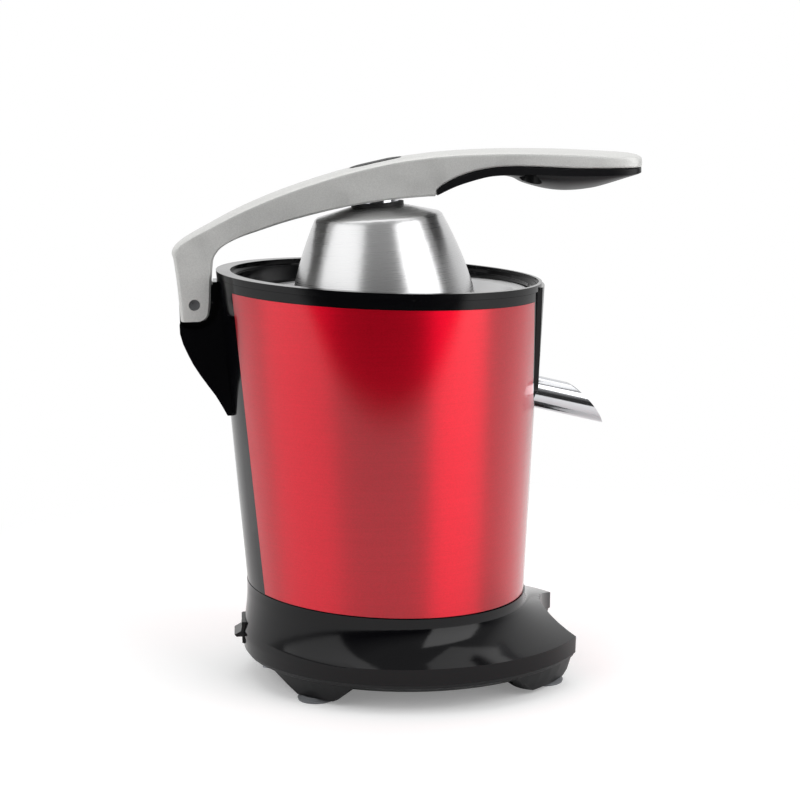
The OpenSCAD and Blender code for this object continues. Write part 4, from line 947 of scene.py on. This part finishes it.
@dataclass
class Lever(SubAssembly):
    """The pull-down arm with its grip, and the dome that hangs from it.

    Attributes:
        pin_mm: the hinge pin's middle.
        cap_mm: straight half length and end radius of the oval screw cover.
        cap_steps: corners round the cover.
        lip_mm: inset and height of each ring of the cap's thin lip, from its foot to its middle.
        clear_mm: how far beside the middle the arm's top is whole.
        above_m: a height over the arm, from which its top is sought.
        grip_mm: stations of the grip, from the pin: distance, top, belly, half width and height of the band.
        grip_steps: rows of facets between two stations.
        edge_mm: width of the slope along the band's upper edge.
        inset_mm: the most that the belly is set in from the band.
        inset_share: that inset as a share of the belly's depth, where this is less.
        thin_mm: the belly's least depth.
        arch_steps: facets across the belly.
        arch_power: how far the belly's section is sharper than an ellipse.
        screw_mm: distances of the grip's screws from the pin.
        seat_mm: radius and top of the screw head's hole, then of the shank's hole, from the pin.
        hollow_mm: distance from the pin, distance beside the middle, radius and top of each side's hollow.
        drill_sides: facets round a hole.
        under_mm: a height below the grip, where its cutters start.
    """

    pin_mm: Point = PIN_MM
    cap_mm: Pair = (6.5, 6.5)
    cap_steps: int = 64
    lip_mm: tuple[Pair, ...] = ((-1.4, 0.02), (-1.4, 0.2), (-1.1, 0.42), (0.0, 0.5), (3.0, 0.56))
    clear_mm: float = 10.0
    above_m: float = 1.0
    grip_mm: tuple[tuple[float, ...], ...] = (
        (133.3, 59.3, 55.9, 18.3, 3.1),
        (144.2, 65.7, 60.8, 19.6, 4.6),
        (158.4, 69.6, 64.9, 21.5, 4.4),
        (167.2, 70.6, 65.8, 22.8, 4.3),
        (176.2, 70.8, 64.0, 24.1, 4.2),
        (182.2, 70.6, 61.0, 25.0, 4.1),
        (194.2, 69.9, 57.5, 26.6, 4.0),
        (206.2, 69.2, 56.2, 27.6, 3.9),
        (219.7, 68.8, 57.2, 28.3, 3.8),
        (231.2, 68.8, 60.3, 28.6, 3.6),
        (240.0, 68.8, 63.6, 27.1, 3.2),
        (244.0, 68.9, 65.4, 22.8, 2.7),
        (245.6, 69.1, 66.2, 13.7, 2.3),
    )
    grip_steps: int = 5
    edge_mm: float = 0.4
    inset_mm: float = 1.2
    inset_share: float = 0.35
    thin_mm: float = 0.05
    arch_steps: int = 18
    arch_power: float = 1.1
    screw_mm: Pair = (190.0, 226.0)
    seat_mm: tuple[Pair, Pair] = ((3.5, 67.0), (1.7, 76.0))
    hollow_mm: tuple[float, float, float, float] = (184.0, 18.5, 6.2, 66.9)
    drill_sides: int = 32
    under_mm: float = 40.0

    def dress(self) -> None:
        """Finish the lever."""
        self.finish("lever_arm", CAST_ALUMINIUM, Edge.CAST)
        self.finish("under_grip", SATIN_ABS, Edge.MOULDED)
        self.finish("grip_screws", ZINC_STEEL)
        self.finish("screw_cover", BLACK_RUBBER, Edge.FINE)
        self.finish("hinge_pin", TURNED_STEEL, Edge.FINE)
        self.finish("press_dome", DOME_STEEL, Edge.SHEET)
        self.finish("dome_washer", BLACK_RUBBER)
        self.finish("dome_stud", CHROME)
        self.finish("dome_nut", ZINC_STEEL)
        self.cap()
        self.grip()

    def grip(self) -> None:
        """Mould the grip: a band along the arm's underside, and a narrower belly for the fingers."""
        pin = Vector(self.pin_mm) * MM
        rings = []
        for along, *station in smooth_rows(self.grip_mm, self.grip_steps):
            outline = self.section(*station)
            rings.append([pin + Vector((along, across, height)) * MM for across, height in outline])
        grip = skin_rings("under_grip_band", rings)
        (head, seat), (shank, end) = self.seat_mm
        for along in self.screw_mm:
            steps = ((head, self.under_mm), (head, seat), (shank, seat), (shank, end))
            bore(grip, self.drill(along, 0.0, steps))
        along, beside, radius, top = self.hollow_mm
        for across in (-beside, beside):
            bore(grip, self.drill(along, across, ((radius, self.under_mm), (radius, top))))
        self.add(grip, SATIN_ABS, "lever", "satin_black")
        self.soften(grip, Edge.FINE)
        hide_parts("under_grip")

    def section(self, top: float, belly: float, wide: float, band: float) -> list[Pair]:
        """Draw the grip's outline across the arm at one station.

        Args:
            top: height of its top, against the arm.
            belly: height of its lowest point.
            wide: half the band's width.
            band: height of the band.

        Returns:
            The outline's points, as distance beside the middle and height.
        """
        deep = max(top - belly - band, self.thin_mm)
        inset = min(self.inset_mm, self.inset_share * deep)
        side = [(wide - self.edge_mm, top), (wide, top - self.edge_mm), (wide, top - band)]
        arch = []
        for step in range(self.arch_steps + 1):
            turn = math.pi * step / self.arch_steps
            across = math.copysign(abs(math.cos(turn)) ** self.arch_power, math.cos(turn))
            down = abs(math.sin(turn)) ** self.arch_power
            arch.append(((wide - inset) * across, top - band - deep * down))
        return side + arch + [(-across, height) for across, height in side[::-1]]

    def drill(self, along: float, across: float, steps: tuple[Pair, ...]) -> bpy.types.Object:
        """Make an upright round cutter for the grip.

        Args:
            along: its distance from the pin, in millimetres.
            across: its distance beside the middle.
            steps: radius and height of each of its rings, from its foot up.

        Returns:
            The cutter.
        """
        foot = Vector(self.pin_mm) + Vector((along, across, 0.0))
        turns = [math.tau * step / self.drill_sides for step in range(self.drill_sides)]
        rings = []
        for radius, height in steps:
            ring = [Vector((radius * math.cos(turn), radius * math.sin(turn), height)) for turn in turns]
            rings.append([(foot + corner) * MM for corner in ring])
        return skin_rings("grip_drill", rings)

    def cap(self) -> None:
        """Lay the screw cover's thin lip on the arm, over the nut's bore."""
        bpy.context.view_layer.update()
        low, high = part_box("screw_cover")
        middle = (low + high) / 2
        half, end = self.cap_mm
        rings = []
        for inset, height in self.lip_mm:
            ring = []
            for step in range(self.cap_steps):
                turn = math.tau * (step + 0.5) / self.cap_steps
                reach = math.copysign(half, math.cos(turn)) + (end - inset) * math.cos(turn)
                along = middle.x + reach * MM
                across = middle.y + (end - inset) * math.sin(turn) * MM
                ring.append(Vector((along, across, self.top_of_arm(along) + height * MM)))
            rings.append(ring)
        self.add(skin_rings("screw_cover_cap", rings), BLACK_RUBBER, "lever", "black_rubber")

    def top_of_arm(self, along: float) -> float:
        """Give the height of the arm's top at a place along it.

        Args:
            along: the place, in metres along X.

        Returns:
            The height in metres.
        """
        above = Vector((along, self.clear_mm * MM, self.above_m))
        hit, place, _, _ = self.nodes["lever_arm"].ray_cast(above, -UP)
        if not hit:
            raise ValueError(f"the arm has no top at {along:.4f} m")
        return place.z


@dataclass(frozen=True)
class SoftBox:
    """A lamp behind a white cloth, which throws a soft light.

    Attributes:
        name: the lamp's name.
        place_m: its centre.
        size_m: its width and height.
        watts: its power.
    """

    name: str
    place_m: Point
    size_m: Pair
    watts: float

    def hang(self, aim_m: Point) -> None:
        """Hang the lamp so that it faces a point.

        Args:
            aim_m: the point.
        """
        light = bpy.data.lights.new(self.name, "AREA")
        light.shape = "RECTANGLE"
        light.size, light.size_y = self.size_m
        light.energy = self.watts
        lamp = bpy.data.objects.new(self.name, light)
        lamp.location = self.place_m
        lamp.rotation_euler = (Vector(aim_m) - Vector(self.place_m)).to_track_quat("-Z", "Y").to_euler()
        bpy.context.scene.collection.objects.link(lamp)


@dataclass
class Studio:
    """The table, the lights and the camera.

    Attributes:
        eye_mm: where the camera stands.
        heading: its turn from +Y towards +X, in degrees.
        pitch: how far it looks down, in degrees.
        roll: its turn about its own axis, in degrees.
        lens_mm: its focal length.
        sensor_mm: its sensor's width.
        sight_m: how far it sees.
        table_mm: corners of the white table.
        painted_shade_front_mm: where the table's front is painted dark, a painted shade for an edge that
            falls out of the light; glossy pieces mirror it as a dark field.
        fade_mm: how far from the press the table starts to look, and looks, as white as the backdrop.
        shade: hex colour of the painted shade on the table past its front edge.
        laminate: hex colour of the table.
        lift: how much paler the camera sees the table near the press.
        behind: how far round to the rear the room turns as white to a mirror as it is to the camera.
        walls: how far round to the rear the room's light grows, and from which strength to which.
        ceiling: how far up its light grows, and from which strength to which.
        aim_m: the point that the soft boxes face.
        boxes: the soft boxes.
    """

    eye_mm: Point = (-87.8, -1040.2, 342.4)
    heading: float = 4.541
    pitch: float = 10.249
    roll: float = -1.1
    lens_mm: float = 85.05
    sensor_mm: float = 36.0
    sight_m: float = 20.0
    table_mm: tuple[Pair, ...] = ((-2000.0, -660.0), (2000.0, -660.0), (2000.0, 3000.0), (-2000.0, 3000.0))
    # Painted shade: between these distances the table darkens towards its front edge.
    painted_shade_front_mm: Pair = (-640.0, -500.0)
    fade_mm: Pair = (330.0, 460.0)
    # The colour of the painted shade on the table's front, which glossy pieces mirror.
    shade: str = "#101010"
    laminate: str = "#f2f2f2"
    lift: float = 0.2
    behind: Pair = (0.2, 0.65)
    walls: tuple[Pair, Pair] = ((-0.2, 0.6), (0.04, 0.85))
    ceiling: tuple[Pair, Pair] = ((0.1, 0.6), (0.0, 0.45))
    aim_m: Point = (0.0, 0.0, 0.15)
    boxes: tuple[SoftBox, ...] = (
        SoftBox("left_box", (-1.15, -0.5, 0.72), (1.4, 1.4), 8.8),
        SoftBox("right_box", (0.98, -0.76, 0.65), (1.1, 1.5), 13.5),
        SoftBox("overhead", (0.0, 0.2, 1.5), (1.6, 1.3), 7.5),
    )

    def build(self) -> None:
        """Set up the whole studio."""
        self.table()
        self.world()
        for box in self.boxes:
            box.hang(self.aim_m)
        self.camera()

    def table(self) -> None:
        """Lay the white table, whose front edge is painted dark as painted shade, which the glossy pieces
        mirror.
        """
        mesh = bpy.data.meshes.new("table_top")
        form = bmesh.new()
        form.faces.new([form.verts.new((x * MM, y * MM, 0.0)) for x, y in self.table_mm])
        form.to_mesh(mesh)
        form.free()
        mesh.materials.append(self.table_material())
        table = bpy.data.objects.new("table_top", mesh)
        bpy.context.scene.collection.objects.link(table)

    def table_material(self) -> bpy.types.Material:
        """Build white laminate, sanded matt.

        It takes the press's soft shadow, and further off it melts into the white backdrop.
        Towards its front edge it is painted dark, a painted shade that the glossy pieces mirror.

        Returns:
            The material.
        """
        material = bpy.data.materials.new("white laminate")
        material.use_nodes = True
        tree = material.node_tree
        tree.nodes.clear()
        path = add_node(tree, "ShaderNodeLightPath")
        place = add_node(tree, "ShaderNodeTexCoord")
        across = add_node(tree, "ShaderNodeSeparateXYZ", links={0: place.outputs["Object"]})
        smooth = {"interpolation_type": "SMOOTHSTEP"}
        # Painted shade: towards its front edge the table darkens to the shade colour, which glossy pieces
        # mirror as a dark field.
        painted_shade_ramp = smooth | between((self.painted_shade_front_mm[0] * MM, self.painted_shade_front_mm[1] * MM))
        front = add_node(tree, "ShaderNodeMapRange", painted_shade_ramp, {"Value": across.outputs["Y"]})
        sheet = add_node(
            tree, "ShaderNodeMix", colours(self.shade, self.laminate), {MIX_SHARE: front.outputs[0]}
        )
        plain = add_node(tree, "ShaderNodeBsdfDiffuse", links={"Color": sheet.outputs[MIX_RESULT]})
        times = {"operation": "MULTIPLY"}
        direct = path.outputs["Is Camera Ray"]
        lift = add_node(tree, "ShaderNodeMath", times | {1: self.lift}, {0: direct})
        glow = add_node(tree, "ShaderNodeEmission", {"Color": WHITE}, {"Strength": lift.outputs[0]})
        near = add_node(tree, "ShaderNodeAddShader", links={0: plain.outputs[0], 1: glow.outputs[0]})
        reach = add_node(tree, "ShaderNodeVectorMath", {"operation": "LENGTH"}, {0: place.outputs["Object"]})
        faded = smooth | between((self.fade_mm[0] * MM, self.fade_mm[1] * MM))
        fade = add_node(tree, "ShaderNodeMapRange", faded, {"Value": reach.outputs["Value"]})
        share = add_node(tree, "ShaderNodeMath", times, {0: fade.outputs[0], 1: direct})
        blank = add_node(tree, "ShaderNodeEmission", {"Color": WHITE, "Strength": 1.0})
        shaders = {0: share.outputs[0], 1: near.outputs[0], 2: blank.outputs[0]}
        total = add_node(tree, "ShaderNodeMixShader", links=shaders)
        add_node(tree, "ShaderNodeOutputMaterial", links={"Surface": total.outputs[0]})
        return material

    def world(self) -> None:
        """Make the room: white to the camera and behind the press, dim on the camera's side."""
        world = bpy.data.worlds.new("studio")
        bpy.context.scene.world = world
        world.use_nodes = True
        tree = world.node_tree
        tree.nodes.clear()
        path = add_node(tree, "ShaderNodeLightPath")
        way = add_node(tree, "ShaderNodeTexCoord")
        parts = add_node(tree, "ShaderNodeSeparateXYZ", links={0: way.outputs["Generated"]})
        behind = add_node(tree, "ShaderNodeMapRange", between(self.behind), {"Value": parts.outputs["Y"]})
        glossy = {0: behind.outputs[0], 1: path.outputs["Is Glossy Ray"]}
        mirrored = add_node(tree, "ShaderNodeMath", {"operation": "MULTIPLY"}, glossy)
        greater = {"operation": "MAXIMUM"}
        clear = {0: path.outputs["Is Camera Ray"], 1: path.outputs["Is Transmission Ray"]}
        direct = add_node(tree, "ShaderNodeMath", greater, clear)
        seen = add_node(tree, "ShaderNodeMath", greater, {0: direct.outputs[0], 1: mirrored.outputs[0]})
        walls = add_node(tree, "ShaderNodeMapRange", between(*self.walls), {"Value": parts.outputs["Y"]})
        ceiling = add_node(tree, "ShaderNodeMapRange", between(*self.ceiling), {"Value": parts.outputs["Z"]})
        room = add_node(tree, "ShaderNodeMath", greater, {0: walls.outputs[0], 1: ceiling.outputs[0]})
        # The second value of the mix, a strength of 1, is white.
        levels = {0: seen.outputs[0], 2: room.outputs[0]}
        level = add_node(tree, "ShaderNodeMix", {"data_type": "FLOAT", 3: 1.0}, levels)
        back = add_node(tree, "ShaderNodeBackground", {"Color": WHITE}, {"Strength": level.outputs[0]})
        add_node(tree, "ShaderNodeOutputWorld", links={"Surface": back.outputs[0]})

    def camera(self) -> None:
        """Stand the camera where the photograph was taken from."""
        data = bpy.data.cameras.new("camera")
        data.lens = self.lens_mm
        data.sensor_width = self.sensor_mm
        data.clip_end = self.sight_m
        eye = bpy.data.objects.new("camera", data)
        turn = (
            Matrix.Rotation(math.radians(-self.heading), 4, "Z")
            @ Matrix.Rotation(math.radians(90 - self.pitch), 4, "X")
            @ Matrix.Rotation(math.radians(self.roll), 4, "Z")
        )
        eye.matrix_world = Matrix.Translation(Vector(self.eye_mm) * MM) @ turn
        bpy.context.scene.collection.objects.link(eye)
        bpy.context.scene.camera = eye


def main() -> None:
    """Load the frame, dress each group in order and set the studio."""
    logging.basicConfig(level=logging.INFO, format="%(message)s")
    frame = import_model()
    bpy.context.scene.view_settings.view_transform = "Standard"
    made: dict[str, bpy.types.Material] = {}
    for group in (Base, Casing, Bowl, Drive, Lever):
        group(frame["nodes"], made).dress()
        LOG.info("%s dressed", group.__name__)
    Studio().build()


if __name__ == "__main__":
    main()
